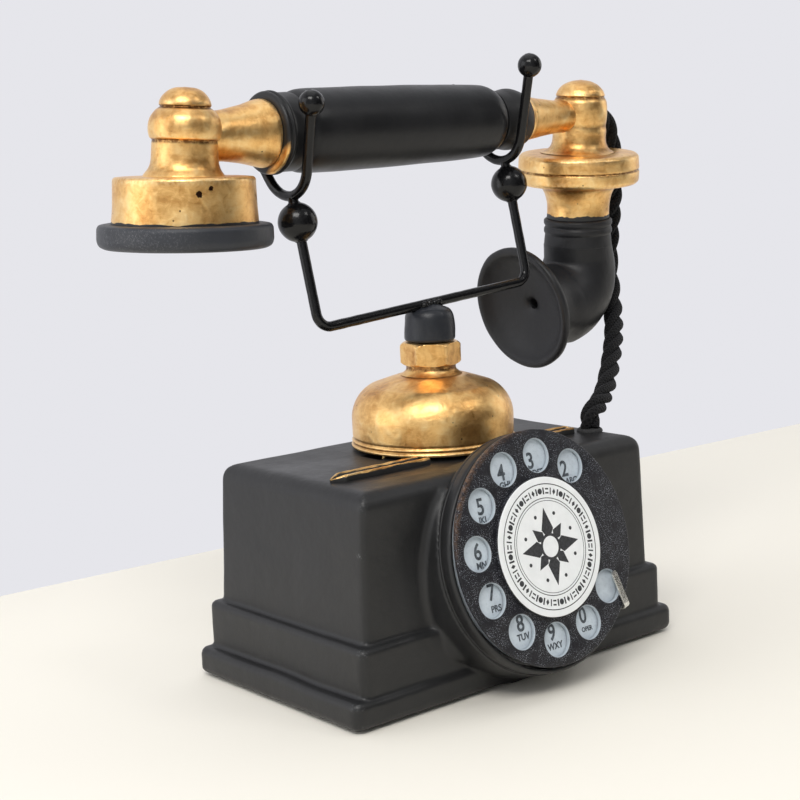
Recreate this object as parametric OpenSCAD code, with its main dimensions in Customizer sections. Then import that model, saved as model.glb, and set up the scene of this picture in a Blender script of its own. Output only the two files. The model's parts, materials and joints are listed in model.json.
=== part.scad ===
// Desk telephone: a moulded base with a sloping dial, a bell on top, a wire cradle that stands on the
// bell's nut, and a handset with a curved mouthpiece. Millimetres. X runs along the front (left to
// right as seen from the dial), Y runs towards the back, Z is up. The origin is on the table, under
// the middle of the base.

/* [Base] */
// Width of the lower plinth
base_w = 145.2; // [140:0.2:150]
// Depth of the lower plinth
base_d = 85.4; // [82:0.2:90]
// Height of the flat top of the body
body_h = 72; // [71:0.5:74]
// Width of the body where it meets the upper plinth
body_w = 129.6; // [126:0.2:132]
// Depth of the body
body_d = 76.8; // [74:0.2:80]
// How much narrower the body is at its top, on each side
body_draft = 1.9; // [0:0.1:3]
// Top of the lower plinth
step_low = 9.6; // [8:0.2:11]
// Top of the upper plinth
step_high = 25.4; // [24:0.2:27]

/* [Dial] */
// Diameter of the finger wheel
wheel_d = 76; // [74:0.5:76]
// Slope of the dial from upright
dial_slope = 14.3; // [10:0.1:16]
// Height of the dial's middle
dial_z = 46.6; // [45:0.1:48]
// How far the wheel's face stands in front of the origin
dial_y = -52.2; // [-54:0.1:-51]
// Diameter of a finger hole
finger_hole_d = 10.8; // [10:0.1:12]
// Diameter of the ring of finger holes
finger_ring_d = 58.9; // [57:0.1:60]
// Angle of the first finger hole, counted from the right
first_hole = 53.4; // [50:0.2:56]
// Diameter of the card in the middle
card_d = 44.8; // [40:0.2:45]

/* [Bell] */
// Diameter of the bell's rim
bell_d = 56.6; // [54:0.2:58]
// Height of the bell from its rim to its nut
bell_h = 24; // [22:0.5:25]
// Place of the bell's axis to the right of the origin
bell_x = 3.6; // [3:0.1:4.2]
// Place of the bell's axis behind the origin
bell_y = 4.7; // [4:0.1:5.5]
// Size of the nut across its corners
nut_d = 21; // [20:0.2:23]

/* [Cradle] */
// Diameter of the cradle's wire
wire_d = 3.35; // [3:0.05:3.5]
// Length of the cradle's bar between the middles of its arms
bar_l = 94.8; // [94:0.2:96]
// Height of the balls above the bar
ball_h = 34.8; // [34:0.2:36]
// Diameter of the balls on the arms
ball_d = 12.8; // [12:0.2:13]
// Diameter of the balls on the fork tips
tip_d = 8.2; // [7:0.2:8.4]
// Half of the angle between a fork's two arms
fork_spread = 25; // [24:0.5:27]
// How far the cradle rises when the handset is lifted
cradle_travel = 4; // [2:0.5:4]

/* [Handset] */
// Distance between the receiver's axis and the transmitter's axis
handset_l = 175; // [174:0.5:176]
// Height of the grip's axis above the table
handset_z = 180.9; // [180.8:0.1:182]
// Diameter of the grip at its thickest
grip_d = 27.2; // [26:0.2:27.4]
// Diameter of the ear cap
ear_d = 54; // [50:0.5:56]
// Diameter of the transmitter's flange
flange_d = 44.8; // [42:0.2:46]
// Diameter of the horn's mouth
horn_d = 45.6; // [42:0.2:48]

/* [Cord] */
// Diameter of the cord
cord_d = 7.4; // [6:0.2:7.6]

/* [Hidden] */
$fn = 64;
fine = 32;
// a straight stretch runs this far into the bend that it meets, and is this much thinner than it
lap = 0.3;
shy = 0.02;

// Base
wall = 3;
foot_h = 0.8;
plate_t = 2.4;
corner_r = 5;
top_edge_r = 4.5;
cavity_w = 123;
cavity_d = 70;
cavity_top = body_h - wall;
plate_w = base_w - 9;
plate_d = base_d - 8.4;
screw_x = 63.6;
screw_y = 34.6;

// Dial, in its own frame: Z points out of the face, Y points up the face, 0 is the wheel's face
wheel_r = wheel_d / 2;
wheel_t = 2.2;
boss_r = wheel_r + 3.2;
boss_front = -9;
boss_drop = 1.7;
cup_r = wheel_r + 2;
cup_front = -3;
cup_back = -17;
web_back = -11;
web_front = -9;
frame_t = 1.6;
plate_back = -4.4;
plate_front = -3.4;
shaft_r = 4;
gear_m = 0.8;
gear_teeth = 40;
pinion_teeth = 10;
pressure_angle = 25;
gear_back = -16;
gear_front = -13.2;
bridge_back = -20;
bridge_front = -18.4;
pillar_r = 24.5;
pinion_at = 150;
mesh_l = gear_m * (gear_teeth + pinion_teeth) / 2;
governor_r = 8;
stop_at = -41;
stop_turn = 147.3;

// Bell and what passes through it
bell_r = bell_d / 2;
bell_z = body_h + 1.2;
bell_top = bell_z + bell_h;
bell_t = 1.8;
bell_clear = 1.2;
nut_h = 11;
nut_top = bell_top + nut_h;
stem_r = 3;
bush_r = 4.5;
bush_wall_fit = 0.05;
bush_low = 63;
platform_z = 44;
stem_foot = 40;
spring_low = 46;
spring_high = 56;

// Cradle, in its own frame: X along the bar, Z up the arms
bar_z = 121.1;
cradle_tilt = 4.52;
cradle_lean = 8.85;
wire_r = wire_d / 2;
half_bar = bar_l / 2;
bend_r = 5;
fork_r = 11.3;
fork_z = 54.6;
arm_end_front = [72.7, 69.4];
arm_end_back = 70;

// Handset, in its own frame: X along the grip, Z up
handset_x = 1.9;
handset_y = 13.9;
handset_tilt = 0.86;
handset_roll = 4.65;
left_x = -handset_l / 2;
right_x = handset_l / 2;
ear_r = ear_d / 2;
shell_r = 22.8;
flange_r = flange_d / 2;
neck_r = 12.8;
elbow_r = 13.5;
elbow_turn = 81;
elbow_z = -52;
horn_l = 17.4;
horn_r = horn_d / 2;
rod_r = 2.5;
bore_r = 4.5;
left_fork_x = -50.4;
right_fork_x = 44.4;
groove_half = 3;

// Ringer
coil_xs = [-36, -16];
ringer_y = 4.7;
pivot = [-26, 37];
hammer_top = [-17.2, 77.6];

// Cord: from the transmitter's hub, round behind the elbow and down to the gland
gland = [56.5, -19];
cord_route = [
    [98.4, 16.2, 183.4], [101.5, 17, 183.2], [106, 18, 181], [110.4, 19.2, 176.8], [113.4, 20.4, 171],
    [115.6, 21.4, 164], [115.9, 21.8, 157], [114.8, 21.4, 149], [113.2, 21, 141], [111.6, 20.4, 133],
    [110.8, 20, 125], [109, 17.6, 116], [104.5, 12.6, 107.5], [97, 5.6, 99.5], [87.5, -1.4, 91.5],
    [77, -8.4, 84.8], [67, -14.8, 81.2], [61, -17.65, 79.6], [57, -18.85, 76.9], [56.5, -19, 73.22]
];

// ---- shared shapes ----

// points of an arc, from angle a to angle b
function arc(cx, cy, r, a, b, n = 8) =
    [for (i = [0:n]) [cx + r * cos(a + (b - a) * i / n), cy + r * sin(a + (b - a) * i / n)]];

// one corner of a soft slab: a disc whose lower or upper rim is rounded
module corner_foot(r, z, edge_r) {
    rotate_extrude($fn = fine)
        polygon(concat([[0, z]], arc(r - edge_r, z + edge_r, edge_r, -90, 0, 5), [[0, z + edge_r]]));
}

module corner_head(r, z, edge_r) {
    rotate_extrude($fn = fine)
        polygon(concat([[0, z - edge_r]], arc(r - edge_r, z - edge_r, edge_r, 0, 90, 6), [[0, z]]));
}

// a box with rounded corners and rounded edges
module soft_slab(w, d, z0, z1, r, low_r, high_r, draft = 0) {
    hull()
        for (sx = [-1, 1], sy = [-1, 1]) {
            translate([sx * (w / 2 - r), sy * (d / 2 - r), 0])
                corner_foot(r, z0, low_r);
            translate([sx * (w / 2 - draft - r), sy * (d / 2 - draft / 2 - r), 0])
                corner_head(r, z1, high_r);
        }
}

// a box with rounded upright edges, exact
module round_box(w, d, z0, z1, r) {
    translate([0, 0, z0])
        linear_extrude(z1 - z0)
            union() {
                square([w - 2 * r, d], center = true);
                square([w, d - 2 * r], center = true);
                for (sx = [-1, 1], sy = [-1, 1])
                    translate([sx * (w / 2 - r), sy * (d / 2 - r)])
                        circle(r);
            }
}

module tube(ro, ri, z0, z1) {
    translate([0, 0, z0])
        difference() {
            cylinder(r = ro, h = z1 - z0);
            translate([0, 0, -1])
                cylinder(r = ri, h = z1 - z0 + 2);
        }
}

module rod(r, z0, z1) {
    translate([0, 0, z0])
        cylinder(r = r, h = z1 - z0);
}

module at_dial() {
    translate([0, dial_y, dial_z])
        rotate([90 - dial_slope, 0, 0])
            children();
}

// the dial's seat in the body stands a little lower than the dial itself
module at_boss() {
    at_dial()
        translate([0, -boss_drop, 0])
            children();
}

module at_bell() {
    translate([bell_x, bell_y, 0])
        children();
}

module at_cradle() {
    translate([bell_x, bell_y, bar_z])
        rotate([0, -cradle_tilt, 0])
            rotate([-cradle_lean, 0, 0])
                children();
}

module at_handset() {
    translate([handset_x, handset_y, handset_z])
        rotate([0, -handset_tilt, 0])
            rotate([handset_roll, 0, 0])
                children();
}

// a shape turned about Z, laid along X
module along_x() {
    rotate([0, 90, 0])
        children();
}

// one flank point of an involute
function involute(base_r, t) =
    [base_r * (cos(t) + t * PI / 180 * sin(t)), base_r * (sin(t) - t * PI / 180 * cos(t))];

function turned(p, a) = [p[0] * cos(a) - p[1] * sin(a), p[0] * sin(a) + p[1] * cos(a)];

// roll angle at which the involute reaches radius r
function roll_at(base_r, r) = sqrt(max(0, pow(r / base_r, 2) - 1)) * 180 / PI;

// a spur gear's outline, with a tooth centred on the X axis
module gear_outline(teeth, backlash = 0.8) {
    pitch_r = gear_m * teeth / 2;
    base_r = pitch_r * cos(pressure_angle);
    tip_r = pitch_r + 0.9 * gear_m;
    root_r = pitch_r - 1.2 * gear_m;
    lean = tan(pressure_angle) * 180 / PI - pressure_angle;
    half = 90 / teeth + lean - backlash * 180 / PI * 0.1 / pitch_r;
    start = roll_at(base_r, max(root_r, base_r));
    finish = roll_at(base_r, tip_r);
    flank = [for (i = [0:4]) turned(involute(base_r, start + (finish - start) * i / 4), -half)];
    root = [turned([root_r, 0], -half - 0.01)];
    side = root_r < base_r ? concat(root, flank) : flank;
    tooth = concat(side, [for (i = [len(side) - 1:-1:0]) [side[i][0], -side[i][1]]]);
    union() {
        circle(r = root_r + 0.05, $fn = 96);
        for (k = [0:teeth - 1])
            rotate(k * 360 / teeth)
                polygon(concat([[0, -0.2]], tooth, [[0, 0.2]]));
    }
}

// a round tube swept along points, with flat ends
function unit(v) = v / norm(v);
function heading(pts, i) = unit(pts[min(i + 1, len(pts) - 1)] - pts[max(i - 1, 0)]);
function swept_ring(c, d, r, n) =
    let (s = unit(cross(d, abs(d[1]) > 0.9 ? [1, 0, 0] : [0, 1, 0])), u = cross(s, d))
    [for (k = [0:n - 1]) c + r * (cos(360 * k / n) * s + sin(360 * k / n) * u)];
module swept_tube(pts, r, n = 8) {
    m = len(pts);
    rings = [for (i = [0:m - 1]) each swept_ring(pts[i], heading(pts, i), r, n)];
    sides = [for (i = [0:m - 2], k = [0:n - 1])
        [i * n + k, i * n + (k + 1) % n, (i + 1) * n + (k + 1) % n, (i + 1) * n + k]];
    ends = [[for (k = [n - 1:-1:0]) k], [for (k = [0:n - 1]) (m - 1) * n + k]];
    polyhedron(concat(rings), concat(sides, ends), convexity = 6);
}

// points between route points, on a smooth curve
function smooth(p0, p1, p2, p3, t) =
    0.5 * (2 * p1 + (p2 - p0) * t + (2 * p0 - 5 * p1 + 4 * p2 - p3) * t * t
        + (3 * p1 - p0 - 3 * p2 + p3) * t * t * t);
function through(pts, steps) = [
    for (i = [0:len(pts) - 2], j = [0:steps - 1])
        smooth(pts[max(i - 1, 0)], pts[i], pts[i + 1], pts[min(i + 2, len(pts) - 1)], j / steps),
    pts[len(pts) - 1]
];

// ---- base ----

module housing() {
    color("#26272a")
        difference() {
            union() {
                soft_slab(base_w, base_d, foot_h, step_low + 0.4, 8, 3.6, 3.6);
                soft_slab(base_w - 8.9, base_d - 3.6, step_low - 3, step_high, corner_r, 1, 3.4);
                soft_slab(body_w, body_d, step_high - 4, body_h, corner_r, 1, top_edge_r, body_draft);
                hull() {
                    at_boss()
                        rotate_extrude($fn = 48)
                            polygon(concat([[0, cup_back - 1], [boss_r, cup_back - 1]],
                                arc(boss_r - 2, boss_front - 2, 2, 0, 90, 3), [[0, boss_front]]));
                    translate([0, -26, 0])
                        round_box(86, 20, 14, body_h - 5, 6);
                }
            }
            intersection() {
                at_dial() rod(cup_r, cup_back, 20);
                at_boss() rod(cup_r, cup_back, 20);
            }
            at_bell() rod(bell_r + bell_clear, body_h, bell_top);
            round_box(cavity_w, cavity_d, foot_h - 1, cavity_top, 5);
            translate([0, 0, foot_h - 1])
                round_box(plate_w, plate_d, 0, plate_t + 1, 6);
            at_dial() rod(30.4, -26.5, cup_back + 2);
            at_bell() rod(bush_r, cavity_top - 2, body_h + 2);
            translate([-25, bell_y - 5, cavity_top - 2])
                cube([15, 10, wall + 4]);
            for (sx = [-1, 1], sy = [-1, 1])
                translate([sx * screw_x, sy * screw_y, 0])
                    rod(1.5, foot_h, 12);
            translate([gland[0], gland[1], 0])
                rod(3.2, cavity_top - 2, body_h + 2);
        }
}

module top_rail() {
    color("#8a6a3c")
        for (span = [[-57.5, -21], [27, 51.5]])
            difference() {
                translate([span[0], -18.6, body_h])
                    cube([span[1] - span[0], 6.2, 2.3]);
                translate([span[0] + 2, -17.2, body_h + 1.1])
                    cube([span[1] - span[0] - 4, 3.4, 2.3]);
            }
}

module cord_gland() {
    color("#1b1b1d")
        translate([gland[0], gland[1], 0]) {
            rod(3.2, cavity_top - 1.5, body_h);
            translate([0, 0, body_h])
                cylinder(r1 = 4.7, r2 = 4, h = 1.2);
        }
}

module base_plate() {
    color("#4a4b4d")
        difference() {
            round_box(plate_w - 0.2, plate_d - 0.2, foot_h, foot_h + plate_t - 0.2, 5.9);
            for (sx = [-1, 1], sy = [-1, 1])
                translate([sx * screw_x, sy * screw_y, 0])
                    rod(1.6, 0, 6);
        }
}

module base_screws() {
    color("#b8b8ba")
        for (sx = [-1, 1], sy = [-1, 1])
            translate([sx * screw_x, sy * screw_y, 0]) {
                rod(1.5, foot_h - 0.4, 11);
                rod(2.8, 0.15, foot_h);
            }
}

module rubber_feet() {
    color("#1a1a1a")
        for (p = [[-54, -27], [54, -27], [-54, 27], [54, 27], [0, 0]])
            translate(p)
                rod(6.5, 0, foot_h);
}

// ---- bell ----

module gong() {
    color("#b8863b")
        at_bell()
            rotate_extrude()
                polygon(concat(
                    [[bell_r - 2.6, bell_z], [bell_r - 0.2, bell_z], [bell_r, bell_z + 0.7],
                     [bell_r - 0.5, bell_z + 1.6], [bell_r - 0.1, bell_z + 2.2],
                     [bell_r - 0.6, bell_z + 3.1], [bell_r - 0.5, bell_z + 5]],
                    arc(bell_r - 13, bell_z + 9.6, 12.4, 0, 62, 7),
                    [[16, bell_top - 1.7], [12, bell_top - 0.4], [9, bell_top], [bush_r, bell_top],
                     [bush_r, bell_top - bell_t], [7.2, bell_top - bell_t],
                     [11.6, bell_top - bell_t - 0.3],
                     [15.6, bell_top - bell_t - 1.7]],
                    arc(bell_r - 13, bell_z + 9.6, 12.4 - bell_t, 62, 0, 7),
                    [[bell_r - 0.6 - bell_t, bell_z + 5]]));
}

module gong_standoff() {
    color("#8f8f92")
        at_bell()
            tube(7, bush_r, body_h, bell_top - bell_t);
}

module gong_nut() {
    color("#c08f42")
        at_bell()
            difference() {
                union() {
                    rotate_extrude()
                        polygon([[0, bell_top], [10.6, bell_top], [9.4, bell_top + 1.4],
                            [8.6, bell_top + 2.6], [8.6, bell_top + 4], [0, bell_top + 4]]);
                    intersection() {
                        translate([0, 0, bell_top + 3])
                            rotate(20)
                                cylinder(d = nut_d, h = nut_h - 3, $fn = 6);
                        rotate_extrude()
                            polygon([[0, bell_top + 3], [nut_d / 2 - 1.1, bell_top + 3],
                                [nut_d / 2, bell_top + 4.1], [nut_d / 2, nut_top - 1.1],
                                [nut_d / 2 - 1.1, nut_top], [0, nut_top]]);
                    }
                }
                rod(bush_r, bell_top - 1, nut_top + 1);
            }
}

module plunger_bush() {
    color("#a98b4a")
        at_bell()
            tube(bush_r, stem_r + bush_wall_fit, bush_low, nut_top);
}

// ---- dial ----

module dial_cup() {
    color("#1d1e20")
        at_dial()
            difference() {
                intersection() {
                    rotate_extrude($fn = 96)
                        polygon(concat(
                            [[wheel_r - 0.7, cup_front - 6], [wheel_r - 0.7, cup_front]],
                            arc(cup_r - 1.4, cup_front - 1.4, 1.4, 90, 0, 5),
                            [[cup_r, web_back], [cup_r - 1.2, cup_back], [34, cup_back],
                             [34, web_back], [30.2, web_back], [30.2, web_front],
                             [wheel_r - 0.7, web_front]]));
                    translate([0, -boss_drop, 0])
                        rod(cup_r, cup_back - 1, 0);
                }
                for (k = [0:2])
                    rotate(60 + k * 120)
                        translate([33.6, 0, 0])
                            rod(1.2, web_back - 1, web_front + 1);
            }
}

module number_plate() {
    color("#dfe4ea")
        at_dial()
            tube(wheel_r - 0.8, 6, plate_back, plate_front);
}

module finger_stop() {
    color("#c9c9c6")
        at_dial()
            rotate(stop_at)
                translate([wheel_r + 1.25, 0, 0]) {
                    translate([-0.65, -1.25, cup_front - 1])
                        cube([1.3, 2.5, 2.5 - cup_front]);
                    rotate(stop_turn)
                        translate([-0.8, -1.25, 0.6])
                            cube([13.2, 2.5, 0.9]);
                }
}

module dial_frame() {
    color("#9a9a95")
        at_dial()
            difference() {
                union() {
                    rod(wheel_r - 0.8, web_front, web_front + frame_t);
                    for (k = [0:2])
                        rotate(20 + k * 120)
                            translate([29.4, 0, 0])
                                rod(2, web_front, plate_back);
                }
                rod(shaft_r + 0.05, web_front - 1, plate_back);
                rotate(pinion_at)
                    translate([mesh_l, 0, 0])
                        rod(1.25, web_front - 1, plate_back);
                for (k = [0:2])
                    rotate(60 + k * 120)
                        translate([33.6, 0, 0])
                            rod(1.2, web_front - 1, plate_back);
            }
}

module dial_bridge() {
    color("#8d8d88")
        at_dial()
            difference() {
                union() {
                    rod(27, bridge_back, bridge_front);
                    for (k = [0:2])
                        rotate(60 + k * 120 + 30)
                            translate([pillar_r, 0, 0])
                                rod(2, bridge_front - 0.5, web_front);
                }
                rod(shaft_r + 0.05, bridge_back - 1, bridge_front + 1);
                rotate(pinion_at)
                    translate([mesh_l, 0, 0])
                        rod(1.25, bridge_back - 1, bridge_front + 1);
            }
}

module dial_screws() {
    color("#b5b5b8")
        at_dial()
            for (k = [0:2])
                rotate(60 + k * 120)
                    translate([33.6, 0, 0]) {
                        rod(1.2, web_back - 0.5, web_front + frame_t + 0.01);
                        rod(2.2, web_front + frame_t, web_front + frame_t + 1.2);
                    }
}

module spring_barrel() {
    color("#b59a58")
        at_dial()
            tube(13.4, 12.3, web_front - 3.4, web_front);
}

module return_spring() {
    color("#6f7580")
        at_dial()
            for (k = [0:3])
                tube(5.9 + k * 1.6, 5.3 + k * 1.6, web_front - 3, web_front);
}

module pulse_contacts() {
    color("#c7a24a")
        at_dial()
            rotate(pinion_at - 24)
                translate([23, 5.2, 0])
                    for (k = [0:1])
                        translate([0, k * 1.6, web_front - 4])
                            cube([5.5, 0.5, 4]);
}

module finger_wheel() {
    color("#232325")
        at_dial()
            difference() {
                rotate_extrude($fn = 96)
                    polygon(concat(
                        [[shaft_r, -wheel_t], [wheel_r - 0.8, -wheel_t], [wheel_r, -wheel_t + 0.8]],
                        arc(wheel_r - 1, -1, 1, 0, 90, 4),
                        [[shaft_r, 0]]));
                for (k = [0:9])
                    rotate(first_hole + 30 * k)
                        translate([finger_ring_d / 2, 0, 0])
                            rod(finger_hole_d / 2, -wheel_t - 1, 1);
            }
}

module card_holder() {
    color("#3a3a3c")
        at_dial()
            rod(card_d / 2 + 0.1, 0, 1.4);
}

module centre_card() {
    color("#f2f2ee")
        at_dial()
            rod(card_d / 2, 1.4, 1.9);
}

module dial_shaft() {
    color("#a9a9ac")
        at_dial()
            rod(shaft_r, bridge_back - 1.2, 0);
}

module main_gear() {
    color("#c2a04c")
        at_dial()
            translate([0, 0, gear_back])
                linear_extrude(gear_front - gear_back)
                    difference() {
                        rotate(pinion_at)
                            gear_outline(gear_teeth);
                        circle(shaft_r);
                    }
}

module at_governor() {
    at_dial()
        rotate(pinion_at)
            translate([mesh_l, 0, 0])
                children();
}

module governor_shaft() {
    color("#a3a3a6")
        at_governor() {
            rod(1.2, bridge_back - 3.4, web_front + frame_t);
            translate([0, 0, gear_back - 0.4])
                linear_extrude(gear_front - gear_back + 0.8)
                    rotate(180 + 180 / pinion_teeth)
                        gear_outline(pinion_teeth);
        }
}

module pulse_cam() {
    color("#7a3d22")
        at_governor()
            translate([0, 0, web_front - 2.6])
                linear_extrude(1.8)
                    difference() {
                        union() {
                            circle(2.6);
                            for (k = [0:1])
                                rotate(180 * k)
                                    translate([0, -1.1])
                                        square([3.9, 2.2]);
                        }
                        circle(1.2);
                    }
}

module governor_wheel() {
    color("#b0b0ac")
        at_governor()
            tube(governor_r, 1.2, bridge_back - 3.2, bridge_back - 1.4);
}

// ---- ringer ----

module upright_y(r, x, z, y0, y1) {
    translate([x, y0, z])
        rotate([-90, 0, 0])
            cylinder(r = r, h = y1 - y0);
}

module ringer_bracket() {
    color("#7e8084")
        difference() {
            union() {
                translate([-46, ringer_y - 9, foot_h + plate_t - 0.2])
                    cube([40, 18, 2.4]);
                for (sy = [-1, 1])
                    translate([pivot[0] - 3, ringer_y + sy * 8.2 - 0.8, foot_h + plate_t])
                        cube([6, 1.6, pivot[1] - foot_h - plate_t + 3]);
            }
            upright_y(1, pivot[0], pivot[1], ringer_y - 12, ringer_y + 12);
        }
}

module ringer_cores() {
    color("#8b8f96")
        for (x = coil_xs)
            translate([x, ringer_y, 0])
                rod(2.5, foot_h + plate_t + 2.2, pivot[1] - 5);
}

module ringer_coils() {
    color("#7a2f1c")
        for (x = coil_xs)
            translate([x, ringer_y, 0]) {
                tube(7.2, 2.5, 8, 29);
                tube(8.2, 2.5, 7, 8);
                tube(8.2, 2.5, 29, 30);
            }
}

module hammer_pivot() {
    color("#b5b5b8")
        upright_y(1, pivot[0], pivot[1], ringer_y - 10, ringer_y + 10);
}

module hammer_arm() {
    color("#b08d4a")
        difference() {
            union() {
                upright_y(2.6, pivot[0], pivot[1], ringer_y - 4, ringer_y + 4);
                translate([pivot[0], ringer_y, pivot[1]])
                    rotate([0, atan2(hammer_top[0] - pivot[0], hammer_top[1] - pivot[1]), 0])
                        rod(0.9, 1.8, norm(hammer_top - pivot));
                translate([hammer_top[0], ringer_y, hammer_top[1]])
                    sphere(2.9);
            }
            upright_y(1.05, pivot[0], pivot[1], ringer_y - 12, ringer_y + 12);
        }
}

module armature() {
    color("#6d7076")
        difference() {
            translate([pivot[0] - 15, ringer_y - 4, pivot[1] - 3.6])
                cube([30, 8, 1.7]);
            upright_y(2.6, pivot[0], pivot[1], ringer_y - 12, ringer_y + 12);
        }
}

// ---- hook switch ----

module hook_bracket() {
    color("#808287")
        at_bell()
            difference() {
                union() {
                    translate([-9, -8, platform_z])
                        cube([27, 16, 2]);
                    translate([16, -8, foot_h + plate_t - 0.2])
                        cube([2, 16, platform_z + 2 - foot_h - plate_t + 0.2]);
                    translate([8, -8, foot_h + plate_t - 0.2])
                        cube([10, 16, 2]);
                }
                rod(stem_r + 0.6, platform_z - 1, platform_z + 3);
            }
}

module hook_contacts() {
    color("#c7a24a")
        at_bell()
            for (k = [0:2])
                translate([-2, -6, 29 + 3 * k])
                    cube([18, 12, 0.6]);
}

module hook_spring() {
    color("#9aa0a8")
        at_bell()
            swept_tube([for (i = [0:64])
                [4.7 * cos(22.5 * i), 4.7 * sin(22.5 * i),
                 spring_low + 0.6 + (spring_high - spring_low - 1.2) * i / 64]], 0.5, 6);
}

// ---- cradle ----

module cradle_post() {
    color("#1c1c1e")
        at_bell() {
            rotate_extrude()
                polygon(concat(
                    [[0, nut_top + 0.3], [8.2, nut_top + 0.3], [8.7, nut_top + 1], [8.5, bar_z - 6]],
                    arc(3.6, bar_z - 6.2, 4.9, 10, 85, 6),
                    [[0, bar_z - 1.2]]));
            rod(stem_r, stem_foot, nut_top + 1);
            rod(5.6, spring_high, spring_high + 1.6);
        }
}

// half of the wire: bar, arm and fork on the side s
module wire_half(s) {
    straight = half_bar - bend_r;
    along_x()
        rod(wire_r - shy, s > 0 ? -lap : -straight - lap, s > 0 ? straight + lap : 0);
    translate([s * straight, 0, bend_r])
        rotate([90, 0, 0])
            rotate(s > 0 ? -90 : 180)
                rotate_extrude(angle = 90)
                    translate([bend_r, 0])
                        circle(wire_r, $fn = fine);
    translate([s * half_bar, 0, 0]) {
        rod(wire_r - shy, bend_r - lap, fork_z - fork_r);
        translate([0, 0, fork_z])
            rotate([0, 90, 0])
                rotate([0, 0, -90 + fork_spread])
                    rotate_extrude(angle = 180 - 2 * fork_spread)
                        translate([fork_r, 0])
                            circle(wire_r, $fn = fine);
        for (f = [[-1, arm_end_front[s > 0 ? 0 : 1]], [1, arm_end_back]])
            translate([0, f[0] * fork_r * cos(fork_spread), fork_z - fork_r * sin(fork_spread)])
                rotate([-f[0] * fork_spread, 0, 0])
                    rod(wire_r - shy, -lap, (f[1] - fork_z + fork_r * sin(fork_spread)) / cos(fork_spread));
    }
}

function tip_y(z) = fork_r * cos(fork_spread) + (z - fork_z + fork_r * sin(fork_spread)) * tan(fork_spread);

module tips() {
    for (s = [-1, 1], f = [[-1, arm_end_front[s > 0 ? 0 : 1]], [1, arm_end_back]])
        translate([s * half_bar, f[0] * tip_y(f[1]), f[1]])
            sphere(d = tip_d);
}

module cradle_wire() {
    color("#161618")
        at_cradle() {
            wire_half(-1);
            wire_half(1);
        }
}

module cradle_balls() {
    color("#141416")
        at_cradle()
            for (s = [-1, 1])
                translate([s * half_bar, 0, ball_h])
                    sphere(d = ball_d);
}

module fork_tips() {
    color("#141416")
        at_cradle()
            tips();
}

// ---- fittings on the base plate ----

module induction_coil() {
    color("#5a3b22")
        translate([32, 22, 13])
            along_x() {
                tube(6.6, 2.2, 1.6, 24.4);
                tube(8.6, 2.2, 0, 1.6);
                tube(8.6, 2.2, 24.4, 26);
                rod(2.2, -3, 29);
                translate([-0.5, -3, -3.4])
                    cube([10.5, 6, 1.4]);
                translate([-0.5, -3, 28])
                    cube([10.5, 6, 1.4]);
            }
}

module condenser() {
    color("#6b6d70")
        translate([-56, 16, foot_h + plate_t - 0.2]) {
            cube([30, 16, 26]);
            translate([6, 5, 26])
                cube([4, 6, 3]);
            translate([20, 5, 26])
                cube([4, 6, 3]);
        }
}

module terminal_block() {
    color("#3b2a1e")
        difference() {
            translate([28, -12, foot_h + plate_t - 0.2])
                cube([30, 12, 9]);
            for (k = [0:3])
                translate([32 + 7.2 * k, -6, 0])
                    rod(1.4, 6, 14);
        }
}

module terminal_screws() {
    color("#c9b06a")
        for (k = [0:3])
            translate([32 + 7.2 * k, -6, 0]) {
                rod(1.4, 6, 12.4);
                rod(2.5, 12, 13.6);
            }
}

// ---- handset ----

module grip_barrel() {
    grip_r = grip_d / 2;
    color("#1f1f22")
        at_handset()
            along_x()
                difference() {
                    rotate_extrude()
                        polygon(concat(
                            [[0, left_fork_x + groove_half]],
                            [[10.4, left_fork_x + groove_half]],
                            arc(grip_r - 3.6, left_fork_x + groove_half + 3, 3, -90, 0, 6),
                            [[grip_r - 0.1, -36], [grip_r, -20], [grip_r - 0.3, 4], [grip_r - 0.8, 28]],
                            arc(grip_r - 4.5, right_fork_x - groove_half - 3.4, 3.4, 0, 90, 6),
                            [[8, right_fork_x - groove_half], [0, right_fork_x - groove_half]]));
                    rod(rod_r + 0.4, -60, 60);
                }
}

module left_collar() {
    low = left_fork_x - groove_half;
    color("#19191b")
        at_handset()
            along_x()
                difference() {
                    union() {
                        rod(12.6, low, left_fork_x + groove_half);
                        rotate_extrude()
                            polygon([[0, low - 5], [12.4, low - 5], [13.2, low - 4.2], [13.2, low - 3],
                                [12.6, low - 2.6], [13.3, low - 2], [13.3, low - 0.8], [12.5, low], [0, low]]);
                    }
                    rod(rod_r + 0.4, -70, 0);
                }
}

module right_collar() {
    high = right_fork_x + groove_half;
    color("#1a1a1c")
        at_handset()
            along_x()
                difference() {
                    union() {
                        rod(10.2, right_fork_x - groove_half, high);
                        rotate_extrude()
                            polygon([[0, high], [10.2, high], [10.8, high + 1], [10.6, high + 4.6],
                                [9.6, high + 5.4], [0, high + 5.4]]);
                    }
                    rod(rod_r + 0.4, 0, 70);
                }
}

module receiver_arm() {
    face = left_fork_x - groove_half - 5;
    color("#b07c34")
        at_handset()
            difference() {
                along_x()
                    rotate_extrude()
                        polygon([[0, left_x + 2], [7.4, left_x + 2], [7.9, left_x + 12], [9, face - 7],
                            [10.4, face - 2.4], [10.8, face], [0, face]]);
                along_x() rod(rod_r + 0.4, -100, 0);
                translate([left_x, 0, 0]) hub_solid();
            }
}

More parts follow.
